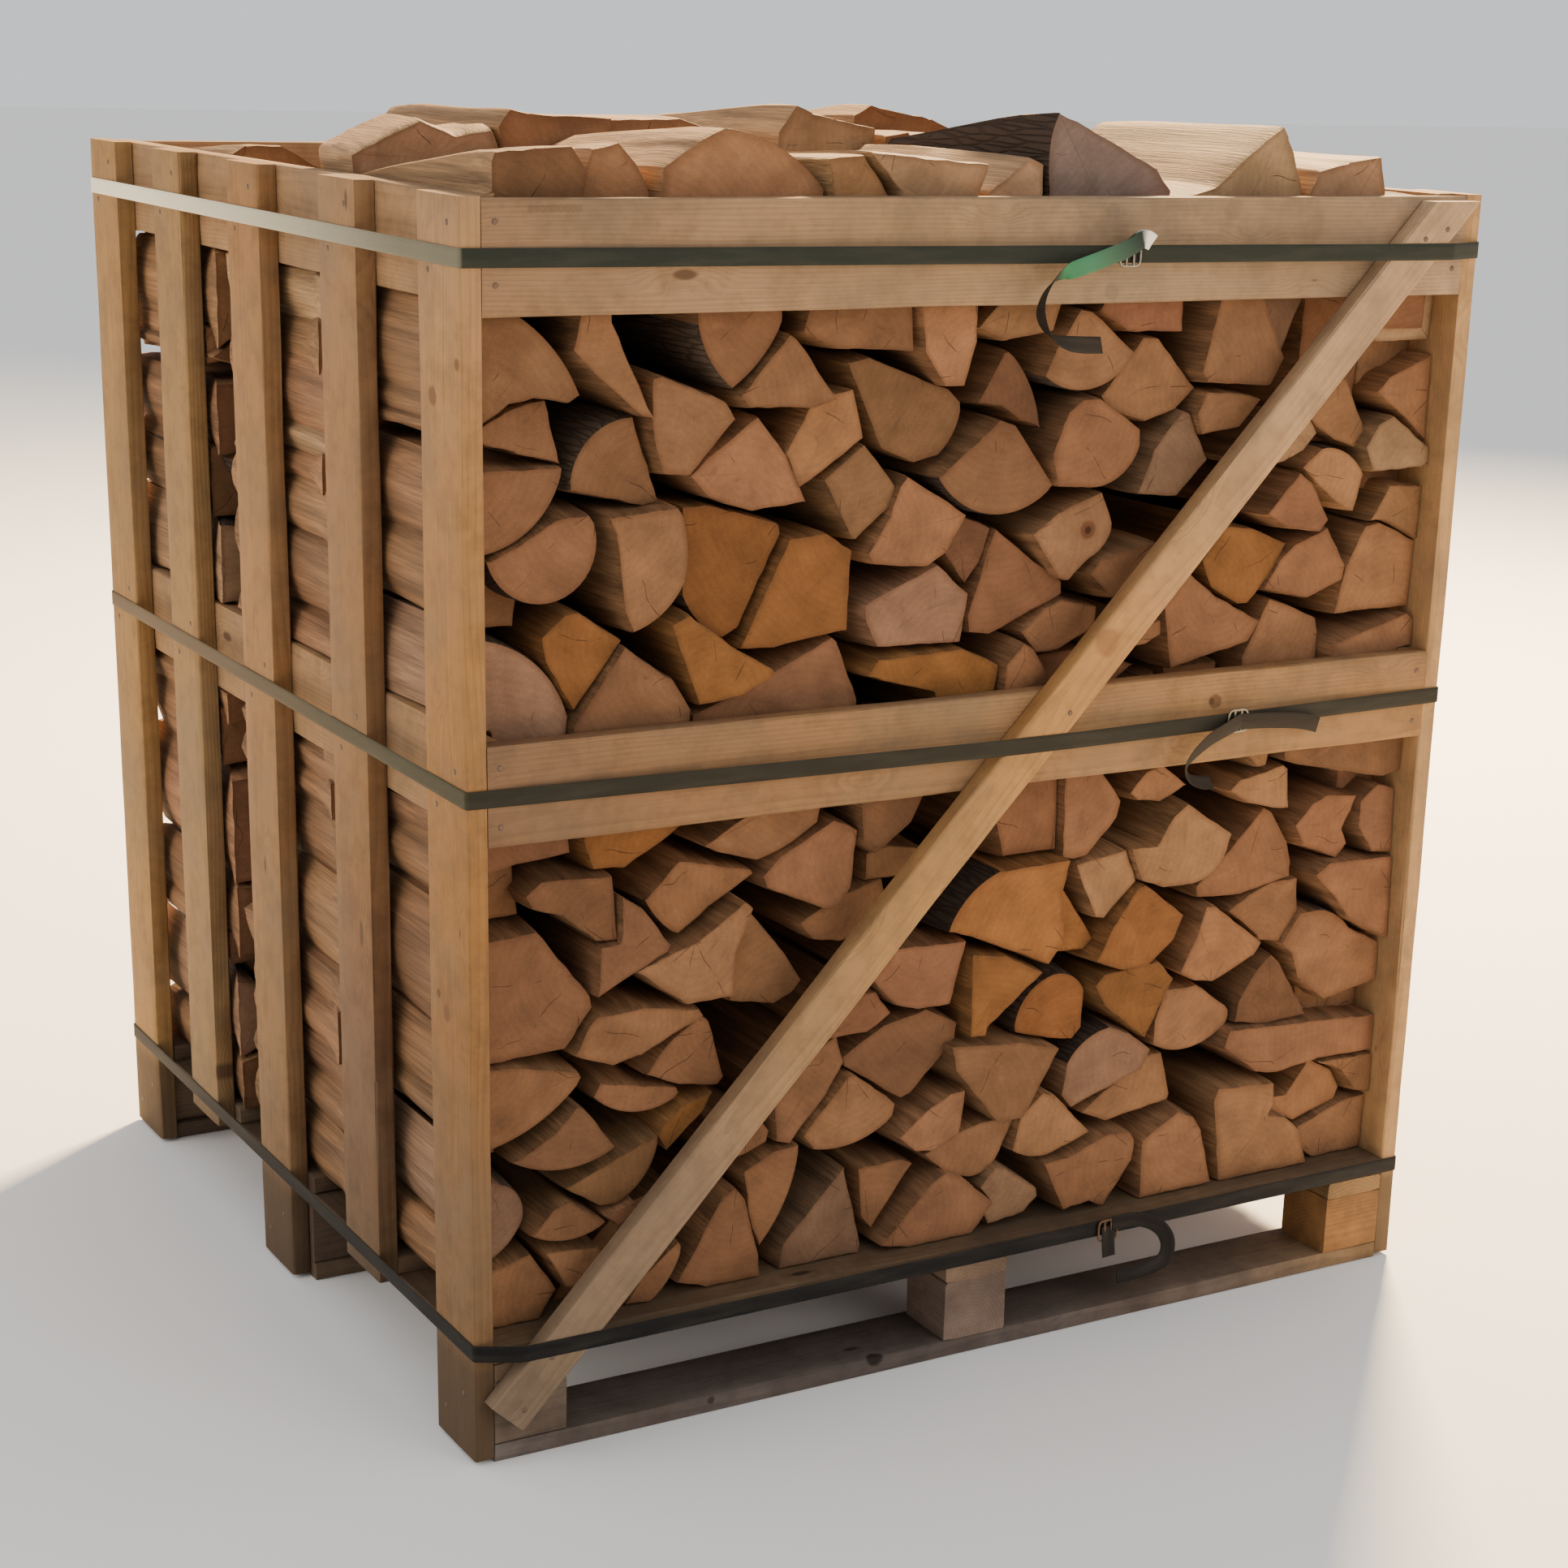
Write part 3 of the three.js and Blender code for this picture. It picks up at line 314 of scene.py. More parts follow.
def sawn_softwood(name, dirt_colour, dirt_share, darker_foot_share, knot_colour, knots):
    """Sawn spruce or pine left outdoors: rings 4 mm apart a little darker than the tint, fibres
    drawn about 1 mm wide, small knots and the large ones where they show, blotches of dirt 0.2 m
    across, a darker brown below 0.13 m, and no gloss."""
    material, tree, surface = new_material(name, 0.82, 0.25)
    late, fibre, inside = wood_figure(tree)
    place = position(tree)
    lines = maths(tree, "MULTIPLY", mapped(tree, late, 0.0, 1.0, 1.04, 0.9),
                  mapped(tree, fibre, 0.3, 0.7, 0.88, 1.1))
    mottle = mapped(tree, noise(tree, place, 26.0, 5.0, 0.7), 0.36, 0.56, 0.8, 1.03)
    wood = mixed(tree, 1.0, attribute(tree, "tint", "Color"),
                 maths(tree, "MULTIPLY", lines, mottle), "MULTIPLY")
    dirty = mapped(tree, noise(tree, place, 5.5, 6.0, 0.62), 0.42, 0.72, 0.0, dirt_share)
    # A darker brown below 0.13 m, at the foot of the boards
    low = mapped(tree, parts_of(tree, place)[2], 0.1, 0.14, darker_foot_share, 0.0)
    dirt = mixed(tree, dirty, wood, linear(dirt_colour))
    darker_foot = mixed(tree, low, dirt, linear("#433526"))
    knotted = mixed(tree, inside, darker_foot, linear(knot_colour))
    relief = maths(tree, "MULTIPLY_ADD", fibre, 0.6, late)
    set_surface(tree, surface, spots(tree, knots, knotted), relief, 0.35, 0.6 * MM)
    return material


def add_board(node_name, tints, material, shape):
    """A sawn length in place of a CAD board. Its tints follow each other evenly along it."""
    points, faces, grain = shape
    share = (grain[:, 2] - grain[:, 2].min()) / np.ptp(grain[:, 2])
    colours = gradient(share, np.linspace(0, 1, len(tints)), tints)
    board = add_mesh("sawn_" + node_name, points, faces, {"grain": grain, "tint": colours})
    board.data.materials.append(material)
    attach(board, "root")
    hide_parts(node_name)


pallet_softwood = sawn_softwood("dirty_pallet_softwood", "#3d3128", 0.75, 0.0, "#33241a", PALLET_KNOTS)
pallet_nodes = sorted(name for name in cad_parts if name.startswith(PALLET_PREFIXES))
for index, name in enumerate(pallet_nodes):
    shape = sawn_length(*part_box(name), np.random.default_rng(index))
    add_board(name, PAINTED_SUN_GRADIENTS.get(name, [PALLET_TINTS[index]]), pallet_softwood, shape)

# Slats of the two sides: rough-sawn softwood boards 98 by 22 mm, standing outside the rails
# and nailed to them. The corner ones also take the ends of the front and back rails.
# Tints of a slat from its foot to its top
SLAT_TINTS = {
    "slat_left_1": ["#75583a", "#7e5b38", "#956939", "#9d7243", "#9f7b56"],
    "slat_left_2": ["#654f37", "#73533a", "#89643f", "#8c6744", "#8f6d4b"],
    "slat_left_3": ["#755a3f", "#856441", "#946c43", "#966f46", "#8f6840"],
    "slat_left_4": ["#8d6d45"],
    "slat_left_5": ["#926f42"],
    # The front right corner slat is tinted lighter and more orange: a painted glow of the sun shining
    # through from behind it
    "slat_right_1": ["#ad8558"],
    "slat_right_2": ["#a27649"],
    "slat_right_3": ["#986f47"],
    "slat_right_4": ["#a07548"],
    "slat_right_5": ["#98704a"],
}
FRAME_KNOTS = [
    (280, -556, 716, 9, 0.75, "#5b4028"),
    (275, -556, 716, 4, 0.6, "#3a2616"),
    (-601, -489, 1068, 10, 0.85, "#6b4a30"),
    (-601, -546, 1102, 6, 0.8, "#6b4a30"),
    (110, -556, 1234, 9, 0.3, "#5b5142"),
    (113, -556, 1155, 9, 0.25, "#5b5142"),
    (-601, -500, 470, 9, 0.85, "#6b4a30"),
    (-601, -480, 485, 5, 0.85, "#5b3c26"),
    (262, -556, 1236, 12, 0.45, "#7b6348"),
]
# A flat stain on the top rail
FRAME_KNOTS += [(x, -556, 1239, 4, 0.4, "#5f4b38") for x in range(-530, -478, 6)]

weathered_softwood = sawn_softwood("weathered_sawn_softwood", "#6f5f4b", 0.62, 0.75, "#5d4530",
                                   FRAME_KNOTS)
slat_nodes = sorted(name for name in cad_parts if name.startswith("slat_"))
for index, name in enumerate(slat_nodes):
    shape = sawn_length(*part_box(name), np.random.default_rng(100 + index))
    add_board(name, SLAT_TINTS[name], weathered_softwood, shape)

# Rails: two inside the slats on each side, and two across the front and back between the
# corner slats, of the same sawn softwood, greyer where rain reaches them.
RAIL_TINT = "#957350"
# Tints from the left end to the right one
RAIL_TINTS = {
    "rail_front_top": ["#8a6a4d", "#957657", "#9b7b59", "#8f775c", "#97795a", "#a3876a"],
    "rail_front_middle": ["#7e5d42", "#8a6745", "#926f4b", "#96714a", "#926c45"],
}
rail_nodes = sorted(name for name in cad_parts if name.startswith("rail_"))
for index, name in enumerate(rail_nodes):
    shape = sawn_length(*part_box(name), np.random.default_rng(200 + index))
    add_board(name, RAIL_TINTS.get(name, [RAIL_TINT]), weathered_softwood, shape)

# Firewood: split hardwood logs, sawn to about 330 mm and dried, stacked in three rows with
# their ends forward. A log has two sawn ends, flat split faces and bark on its round side.
LOG_LENGTH = 330 * MM
ROW_FRONTS = {"front": -529.5 * MM, "middle": -174 * MM, "back": 182 * MM}
ROW_TOP = 1170 * MM
# How far the ends of neighbouring logs, of deep ones and of hidden ones stand behind the first
END_STEP = 6.5 * MM
RECESS = 22 * MM
HIDDEN_STEP = 45 * MM
# The room for logs: half its width at the slats and at the rails, the heights of the rails and
# the top of the deck
HALF_ROOM = 577.5 * MM
HALF_ROOM_AT_RAIL = 555.6 * MM
MIDDLE_RAIL = (647.5 * MM, 748.5 * MM)
TOP_RAIL_FOOT = 1149.5 * MM
DECK_TOP = 129.5 * MM
# Beyond this distance from the middle a log's side no longer lies flat against the wall
ZONE_START = 545 * MM
# How far the tops of a row's highest logs fall towards the back
TOP_FALLS = {"front": 0.0, "middle": 12 * MM, "back": 32 * MM}
CHECK_COUNT = 9
END_RING_SPACING = 4 * MM
# Colours of the wood of a log, and of bark
TAN = "#7a563b"
ORANGE = "#7d522b"
PALE = "#866142"
DULL = "#7a5d47"
# Next, a lighter tint for the logs at the top and by the right slats, where the sun falls: painted
# sunlight
SUNLIT = "#8f7052"
GREYED = "#7d6a5e"
BARK_TINTS = ["#4a3d34", "#574a40", "#3f342c", "#5e4f42"]
# Knots in the sawn ends, as the pallet's knots are listed
END_KNOTS = [
    (122, -520, 907, 11, 0.8, "#5c3822"),
    (122, -520, 907, 5, 0.8, "#2e1a10"),
    (-377, -520, 897, 6, 0.7, "#7a5236"),
    (-397, -520, 793, 5, 0.7, "#4e2f1c"),
    (-320, -526, 990, 9, 0.5, "#4a2d1b"),
]

# Each log: its colour, then the corners (x, z) of its end in mm, where the front row shows it.
# A third number is how far the bark bulges beyond the straight line to the next corner.
UPPER_LOGS = [
    (TAN, [(-577, 1040), (-577, 1146), (-537, 1146, 9), (-469, 1068), (-480, 1061), (-512, 1067),
        (-540, 1062)]),
    (TAN, [(-577, 1031), (-540, 1052), (-517, 1061), (-496, 1064), (-481, 1002), (-527, 1014),
        (-577, 1028)]),
    (TAN, [(-577, 1001), (-481, 1000, 22), (-577, 920)]),
    (TAN, [(-563, 916), (-530, 930), (-490, 953), (-455, 956, 64)]),
    (PALE, [(-440, 953), (-364, 959, 6), (-357, 885, 8), (-412, 839), (-422, 860), (-432, 935)]),
    (ORANGE, [(-352, 955), (-325, 957), (-243, 933), (-241, 922), (-288, 832), (-307, 822, 6),
        (-351, 868)]),
    (ORANGE, [(-236, 918), (-192, 922), (-162, 902), (-164, 820), (-250, 809), (-290, 811)]),
    (TAN, [(-391, 1080), (-380, 1083), (-312, 1057), (-300, 1040), (-350, 986), (-379, 989),
        (-390, 1025)]),
    (TAN, [(-478, 1110), (-462, 1165), (-436, 1165), (-440, 1144), (-391, 1042), (-405, 1046),
        (-452, 1084)]),
    (TAN, [(-472, 977, 20), (-405, 1044), (-376, 962), (-395, 958)]),
    (TAN, [(-348, 986), (-330, 1001), (-272, 1041), (-240, 1002), (-215, 953), (-278, 947),
        (-328, 964)]),
    (TAN, [(-346, 1168), (-250, 1168), (-251, 1130, 6), (-305, 1068, 7), (-343, 1130)]),
    (TAN, [(-299, 1062), (-245, 1120), (-236, 1114), (-190, 1054), (-215, 1047), (-290, 1050)]),
    (DULL, [(-577, 842, 22), (-474, 758), (-480, 705), (-555, 705), (-555, 750), (-577, 750)]),
    (ORANGE, [(-505, 840), (-480, 860), (-465, 861), (-418, 830), (-471, 764), (-502, 818)]),
    (TAN, [(-420, 826), (-388, 802), (-368, 790), (-346, 756), (-350, 705), (-470, 705), (-474, 750)]),
    (ORANGE, [(-371, 843), (-352, 853), (-302, 817), (-257, 790), (-258, 783), (-290, 767),
        (-340, 760)]),
    (TAN, [(-338, 705), (-338, 748), (-290, 764), (-215, 798), (-178, 814), (-172, 808), (-148, 748),
        (-150, 705)]),
    (TAN, [(-241, 1003), (-217, 1044), (-197, 1066), (-188, 1059), (-165, 1063), (-152, 1014),
        (-200, 982), (-226, 968)]),
    (TAN, [(-228, 1118), (-215, 1168), (-105, 1168), (-102, 1098), (-190, 1103)]),
    (TAN, [(-103, 1168), (-30, 1168), (-30, 1105), (-42, 1062), (-67, 1063), (-92, 1097)]),
    (TAN, [(-170, 1088), (-145, 1092), (-92, 1073), (-50, 1058), (-34, 1044, 6), (-60, 992), (-90, 985),
        (-128, 1000)]),
    (TAN, [(-198, 975), (-152, 1009), (-113, 964), (-118, 944), (-158, 912), (-164, 915)]),
    (TAN, [(-113, 965), (-104, 975), (-65, 953), (-30, 932), (-52, 894), (-76, 880), (-142, 887),
        (-148, 899), (-124, 934)]),
    (TAN, [(-72, 972), (-30, 1003), (2, 1028), (20, 1022), (71, 957, 34)]),
    (TAN, [(-16, 1042), (14, 1092), (22, 1094, 8), (64, 1014), (40, 1022), (12, 1038)]),
    (PALE, [(-22, 1118), (6, 1146), (8, 1168), (88, 1168), (70, 1112), (14, 1104)]),
    (PALE, [(58, 1068), (70, 1094), (100, 1136), (116, 1132), (168, 1090, 26)]),
    (TAN, [(84, 1032), (102, 1044), (125, 1045), (178, 1012), (179, 992, 12), (118, 952), (76, 956),
        (66, 990)]),
    (TAN, [(136, 1044), (188, 1104), (208, 1103), (262, 1048), (238, 1027), (196, 1015), (150, 1028)]),
    (TAN, [(128, 1132), (150, 1168), (232, 1168), (234, 1108), (166, 1110)]),
    (TAN, [(51, 906), (84, 928), (138, 947), (154, 912, 6), (125, 877), (99, 855), (86, 858)]),
    (TAN, [(121, 862), (136, 876), (205, 892), (215, 850), (150, 834)]),
    (TAN, [(-16, 806), (-18, 824), (13, 914), (62, 878), (101, 852), (102, 838), (12, 802)]),
    (DULL, [(-148, 846), (-60, 882), (-20, 848), (-28, 797), (-130, 800), (-144, 826)]),
    (ORANGE, [(-146, 773), (-132, 790), (-30, 793), (18, 772), (10, 720), (-60, 720), (-62, 749),
        (-125, 766)]),
    (TAN, [(20, 772), (42, 795), (56, 786), (76, 757), (72, 705), (16, 705)]),
    (TAN, [(50, 801), (78, 824), (102, 833), (148, 822), (146, 800), (100, 778), (72, 777)]),
    (DULL, [(186, 940), (198, 968), (206, 988), (240, 1026), (250, 1024), (278, 972), (240, 935)]),
    (TAN, [(255, 1024), (267, 1046), (310, 1044), (341, 1036), (314, 1006), (262, 1000)]),
    (TAN, [(252, 1066), (262, 1106), (278, 1168), (318, 1168), (364, 1078), (346, 1050), (262, 1056)]),
    (DULL, [(322, 1168), (402, 1168), (400, 1145), (374, 1084), (366, 1082), (346, 1112)]),
    (SUNLIT, [(488, 1096), (520, 1146), (525, 1168), (555, 1168), (555, 1146), (577, 1146), (577, 1092),
        (500, 1090)]),
    (TAN, [(499, 1037), (516, 1054), (577, 1077), (577, 980), (548, 1004)]),
    (SUNLIT, [(486, 978), (504, 1004), (524, 1012), (577, 974), (577, 953), (500, 950)]),
    (TAN, [(412, 1014), (455, 1060), (470, 1050), (500, 992), (484, 976), (455, 985), (430, 1000)]),
    (SUNLIT, [(360, 960), (412, 1014), (427, 995), (408, 975), (385, 966)]),
    (PALE, [(403, 959), (430, 980, 10), (490, 948), (481, 907), (470, 908), (438, 930)]),
    (TAN, [(352, 912), (397, 956), (415, 943), (442, 901), (430, 887), (384, 894)]),
    (ORANGE, [(284, 862), (315, 898), (350, 895), (400, 875), (377, 838), (350, 811), (334, 811),
        (298, 832)]),
    (TAN, [(368, 826), (386, 856), (406, 873), (452, 890), (480, 846), (477, 830), (428, 812)]),
    (TAN, [(226, 818), (258, 854), (295, 826), (361, 792), (345, 770), (238, 749)]),
    (TAN, [(150, 790), (218, 806), (221, 790), (200, 779), (160, 776)]),
    (TAN, [(346, 749), (382, 815), (450, 788), (455, 772), (452, 705), (350, 705)]),
    (TAN, [(472, 790), (482, 846), (504, 888), (524, 893), (577, 868), (577, 793)]),
    (TAN, [(506, 894), (530, 934), (577, 932), (577, 870), (526, 894)]),
    (TAN, [(457, 749), (462, 760), (566, 788), (577, 782), (577, 750), (555, 750), (555, 705),
        (460, 705)]),
]
LOWER_LOGS = [
    (TAN, [(-555, 700), (-555, 646), (-577, 646), (-577, 606), (-527, 615), (-471, 620), (-478, 700)]),
    (ORANGE, [(-460, 634), (-452, 700), (-335, 700), (-330, 650), (-378, 620), (-415, 600),
        (-450, 602)]),
    (TAN, [(-528, 586), (-508, 600), (-430, 596), (-425, 528), (-450, 530), (-485, 560), (-518, 571)]),
    (TAN, [(-424, 576), (-400, 560), (-369, 518), (-372, 510), (-435, 480), (-450, 472), (-447, 526),
        (-425, 527)]),
    (PALE, [(-390, 562), (-351, 599), (-267, 580), (-265, 574), (-315, 546), (-352, 520, 4)]),
    (TAN, [(-326, 612), (-270, 644), (-262, 700), (-175, 700), (-196, 622), (-238, 598), (-266, 590),
        (-308, 602)]),
    (TAN, [(-262, 574), (-240, 594), (-178, 626), (-150, 612), (-157, 550), (-170, 532), (-186, 530),
        (-255, 560)]),
    (TAN, [(-166, 700), (-64, 700), (-64, 660), (-90, 614), (-132, 585), (-149, 600), (-150, 636)]),
    (TAN, [(-212, 515), (-168, 538), (-110, 552), (-100, 500), (-160, 487), (-194, 494)]),
    (TAN, [(-577, 542), (-510, 546), (-452, 472), (-450, 460), (-480, 420), (-577, 415)]),
    (TAN, [(-473, 411), (-457, 443), (-449, 451), (-395, 453), (-332, 443), (-328, 434), (-400, 401),
        (-430, 395)]),
    (TAN, [(-408, 494), (-377, 506), (-340, 517), (-285, 553), (-275, 545), (-294, 500), (-296, 452),
        (-350, 450)]),
    (TAN, [(-272, 541), (-228, 487), (-205, 452), (-216, 440), (-240, 430), (-292, 441), (-293, 500)]),
    (TAN, [(-391, 377), (-368, 406), (-328, 434), (-317, 424), (-300, 361), (-308, 353), (-350, 360)]),
    (TAN, [(-577, 413), (-540, 412), (-468, 396), (-465, 388, 12), (-577, 325)]),
    (TAN, [(-545, 312), (-500, 335), (-474, 362), (-465, 358), (-430, 310, 16)]),
    (TAN, [(-447, 360), (-440, 375), (-350, 356), (-347, 347, 18)]),
    (ORANGE, [(-376, 306), (-370, 320), (-348, 338), (-312, 348), (-322, 328), (-367, 290)]),
    (TAN, [(-486, 272), (-400, 305), (-377, 310, 12), (-427, 245), (-446, 246)]),
    (TAN, [(-524, 228), (-500, 255), (-482, 260), (-441, 230, 12)]),
    (DULL, [(-577, 294), (-550, 285, 10), (-525, 240, 8), (-577, 196)]),
    (TAN, [(-577, 192), (-550, 198), (-520, 205), (-490, 160), (-510, 130), (-577, 130)]),
    (TAN, [(-508, 206), (-446, 201), (-440, 190), (-470, 160), (-484, 162)]),
    (TAN, [(-443, 236), (-412, 246), (-400, 236), (-427, 222)]),
    (TAN, [(-300, 262), (-300, 300), (-262, 304), (-250, 300), (-240, 290), (-243, 276), (-268, 266)]),
    (TAN, [(-274, 250), (-240, 267), (-207, 270, 10), (-255, 162), (-267, 194)]),
    (TAN, [(-357, 142), (-302, 230), (-286, 236), (-275, 222), (-258, 156), (-256, 130), (-320, 130)]),
    (TAN, [(-420, 132), (-400, 160), (-358, 192), (-352, 186, 6), (-390, 130)]),
    (TAN, [(-236, 330), (-192, 368), (-160, 384), (-150, 352), (-170, 320), (-216, 270), (-234, 276)]),
    (TAN, [(-182, 383), (-135, 430), (-118, 428), (-98, 401), (-126, 383)]),
    (TAN, [(-126, 444), (-100, 476), (-8, 472), (-28, 402), (-70, 403), (-96, 411), (-118, 432)]),
    (ORANGE, [(-6, 458), (38, 451), (88, 425), (20, 372), (17, 361), (-4, 362)]),
    (TAN, [(-152, 358), (-105, 386), (-50, 398), (-11, 377), (-13, 357), (-66, 301), (-78, 297),
        (-150, 346)]),
    (TAN, [(-204, 278), (-150, 338), (-140, 338), (-88, 297), (-92, 282, 12), (-190, 260)]),
    (TAN, [(-88, 258), (-50, 286), (-20, 300), (-2, 300), (-8, 250), (-40, 235), (-66, 238)]),
    (TAN, [(-27, 356), (62, 348), (115, 333), (96, 300), (70, 257), (35, 258), (-20, 325)]),
    (ORANGE, [(66, 352, 14), (116, 413, 8), (157, 390), (156, 346), (142, 333), (112, 338)]),
    (TAN, [(-52, 232), (-8, 250), (20, 256), (70, 258), (50, 216, 10), (4, 194), (-22, 203)]),
    (PALE, [(70, 256), (100, 281), (120, 272), (168, 222), (118, 205, 6), (62, 217)]),
    (TAN, [(-110, 137), (-50, 198), (-30, 210), (-5, 200), (36, 162), (8, 130), (-76, 130)]),
    (TAN, [(-130, 226), (-76, 228), (-60, 220), (-112, 152), (-126, 170)]),
    (DULL, [(-231, 130), (-227, 158), (-150, 234), (-128, 140), (-130, 130)]),
    (DULL, [(20, 181), (40, 203), (52, 200), (99, 166), (100, 156), (82, 139), (34, 133), (26, 150),
        (36, 162)]),
    (TAN, [(101, 197), (135, 200), (190, 218), (220, 215), (227, 204), (224, 182), (185, 131),
        (165, 140), (130, 136)]),
    (TAN, [(160, 243), (190, 262), (247, 296), (272, 298), (288, 244), (285, 237), (195, 226)]),
    (DULL, [(131, 268), (136, 308, 8), (190, 343), (215, 333), (250, 307), (240, 285), (146, 251)]),
    (ORANGE, [(162, 396), (175, 410), (250, 414), (272, 390), (238, 322), (200, 352), (176, 372)]),
    (ORANGE, [(-38, 487, 10), (25, 548), (117, 550), (110, 517), (115, 455), (96, 432), (-5, 477)]),
    (ORANGE, [(112, 458), (111, 518), (125, 508), (168, 447), (155, 435), (100, 440)]),
    (TAN, [(113, 548), (112, 700), (150, 700), (148, 660), (190, 605), (185, 585), (146, 547),
        (127, 545)]),
    (PALE, [(128, 541), (196, 550), (212, 512), (170, 473), (160, 475), (134, 524)]),
    (PALE, [(198, 552), (234, 552), (252, 582), (272, 596), (336, 554), (330, 534, 8), (284, 501),
        (248, 501), (214, 513)]),
    (PALE, [(204, 609), (226, 632), (248, 638), (283, 612), (248, 595), (216, 600)]),
    (PALE, [(339, 600), (352, 611), (415, 623), (420, 619), (425, 571), (405, 572), (364, 583)]),
    (TAN, [(344, 648), (344, 690), (390, 690), (388, 648), (384, 626), (372, 625)]),
    (TAN, [(402, 700), (555, 700), (555, 647), (577, 647), (577, 603), (552, 597), (428, 623),
        (402, 632)]),
    (TAN, [(303, 492), (330, 512), (397, 573), (410, 565), (433, 530), (441, 506), (440, 485),
        (366, 473), (304, 478)]),
    (TAN, [(437, 548), (460, 572), (482, 581), (526, 576), (517, 556), (507, 538), (516, 518),
        (500, 502), (452, 522)]),
    (TAN, [(526, 570), (552, 588), (577, 580), (577, 502), (548, 506), (526, 537)]),
    (TAN, [(462, 489), (484, 503), (577, 500), (577, 400), (550, 412), (515, 430), (495, 456)]),
    (TAN, [(352, 456), (384, 473), (415, 483), (453, 483), (456, 442), (430, 408), (400, 414),
        (396, 420)]),
    (TAN, [(455, 441), (480, 443, 6), (530, 415), (577, 392), (577, 345), (500, 330), (456, 362),
        (446, 392), (430, 408)]),
    (TAN, [(278, 396), (300, 434), (313, 470), (327, 468), (397, 416), (384, 401), (326, 378),
        (300, 383)]),
    (ORANGE, [(156, 427), (180, 468), (210, 506), (222, 508), (278, 466), (265, 437), (230, 412),
        (196, 412)]),
    (TAN, [(257, 308), (257, 338), (271, 373), (315, 373), (362, 340, 8), (350, 310, 8), (277, 299)]),
    (TAN, [(367, 321), (371, 346), (396, 383), (415, 398), (430, 386), (476, 314), (415, 312)]),
    (TAN, [(348, 294), (356, 316), (490, 308), (577, 302), (577, 256), (490, 258), (430, 251),
        (402, 256)]),
    (TAN, [(335, 232), (340, 249), (422, 243), (426, 220), (418, 203), (446, 196), (468, 176),
        (484, 130), (352, 130)]),
    (TAN, [(422, 203), (430, 217), (457, 215), (490, 256), (526, 236), (541, 212), (535, 197),
        (473, 180)]),
    (TAN, [(472, 175), (542, 198), (577, 200), (577, 130), (500, 130), (482, 144)]),
    (TAN, [(494, 254), (577, 254), (577, 204), (556, 208), (530, 238)]),
    (TAN, [(236, 130), (236, 201), (286, 229), (308, 220), (322, 200), (340, 132)]),
]
# Logs behind the gaps and the corner slats, set back behind the others
HIDDEN_LOGS = [
    (TAN, [(-48, 640), (-56, 706), (12, 706), (20, 640)]),
    (TAN, [(160, 640), (158, 704), (246, 740), (250, 650)]),
    (TAN, [(262, 645), (258, 742), (334, 742), (334, 655)]),
    (TAN, [(80, 704), (84, 770), (150, 772), (220, 748), (152, 706)]),
    (TAN, [(414, 980), (420, 1168), (520, 1168), (512, 1090), (488, 980)]),
    (TAN, [(-482, 130), (-462, 168), (-400, 226), (-346, 240), (-346, 190), (-430, 134)]),
    (TAN, [(-576, 846), (-576, 926), (-535, 930), (-512, 905), (-520, 846)]),
    (TAN, [(-576, 552), (-576, 622), (-524, 620), (-516, 556)]),
    (TAN, [(-576, 306), (-576, 348), (-544, 346), (-540, 308)]),
    (TAN, [(-576, 1018), (-576, 1060), (-500, 1076), (-500, 1030)]),
    (TAN, [(500, 1040), (500, 1096), (576, 1100), (576, 1046)]),
    (TAN, [(500, 925), (500, 958), (576, 962), (576, 922)]),
    (TAN, [(520, 575), (520, 612), (576, 614), (576, 572)]),
    (TAN, [(480, 296), (480, 350), (576, 356), (576, 292)]),
]
# Logs whose ends are seen deep between the others
RECESSED_LOGS = [
    (TAN, [(-50, 892), (-30, 930), (10, 914), (-3, 877), (-20, 856)]),
    (TAN, [(-131, 580), (-105, 586), (-60, 578), (-60, 550), (-130, 549)]),
    (TAN, [(30, 600), (20, 640), (30, 700), (110, 700), (112, 556), (40, 556)]),
]
# Logs that lie loose on the front row and on the middle one, from left to right
TOP_FRONT_LOGS = [
    (TAN, [(-555, 1170), (-555, 1252), (-576, 1254), (-576, 1262), (-552, 1288), (-476, 1293),
        (-462, 1270), (-476, 1170)]),
    (PALE, [(-470, 1170), (-455, 1272), (-448, 1289), (-421, 1296), (-403, 1278), (-388, 1250),
        (-392, 1170)]),
    (PALE, [(-384, 1170), (-380, 1273), (-344, 1296), (-314, 1310, 12), (-204, 1254), (-198, 1170)]),
    (PALE, [(-193, 1170), (-199, 1252), (-205, 1283), (-165, 1287), (-136, 1250), (-144, 1170)]),
    (SUNLIT, [(-161, 1289), (-24, 1279), (-35, 1250), (-50, 1170), (-112, 1170), (-126, 1252)]),
    (SUNLIT, [(-40, 1170), (-12, 1250), (38, 1284), (54, 1277), (54, 1170)]),
    (GREYED, [(60, 1170, 1), (57, 1252, 2), (56, 1302, 1), (65, 1328), (100, 1315), (136, 1298),
        (188, 1275), (208, 1252), (196, 1170)]),
    (SUNLIT, [(214, 1170), (212, 1245), (262, 1256), (301, 1289), (345, 1318), (353, 1306), (362, 1290),
        (376, 1252), (372, 1170)]),
    (SUNLIT, [(382, 1170), (382, 1252), (394, 1273), (432, 1282), (476, 1288), (484, 1252),
        (482, 1170)]),
]
TOP_MIDDLE_LOGS = [
    (SUNLIT, [(-552, 1238.3), (-552, 1268), (-515, 1285), (-477, 1301), (-440, 1286), (-400, 1293),
        (-392, 1273), (-396, 1238.3)]),
    (SUNLIT, [(-70, 1170), (-64, 1292), (-42, 1322), (-22, 1314), (9, 1308), (60, 1298), (62, 1170)]),
]
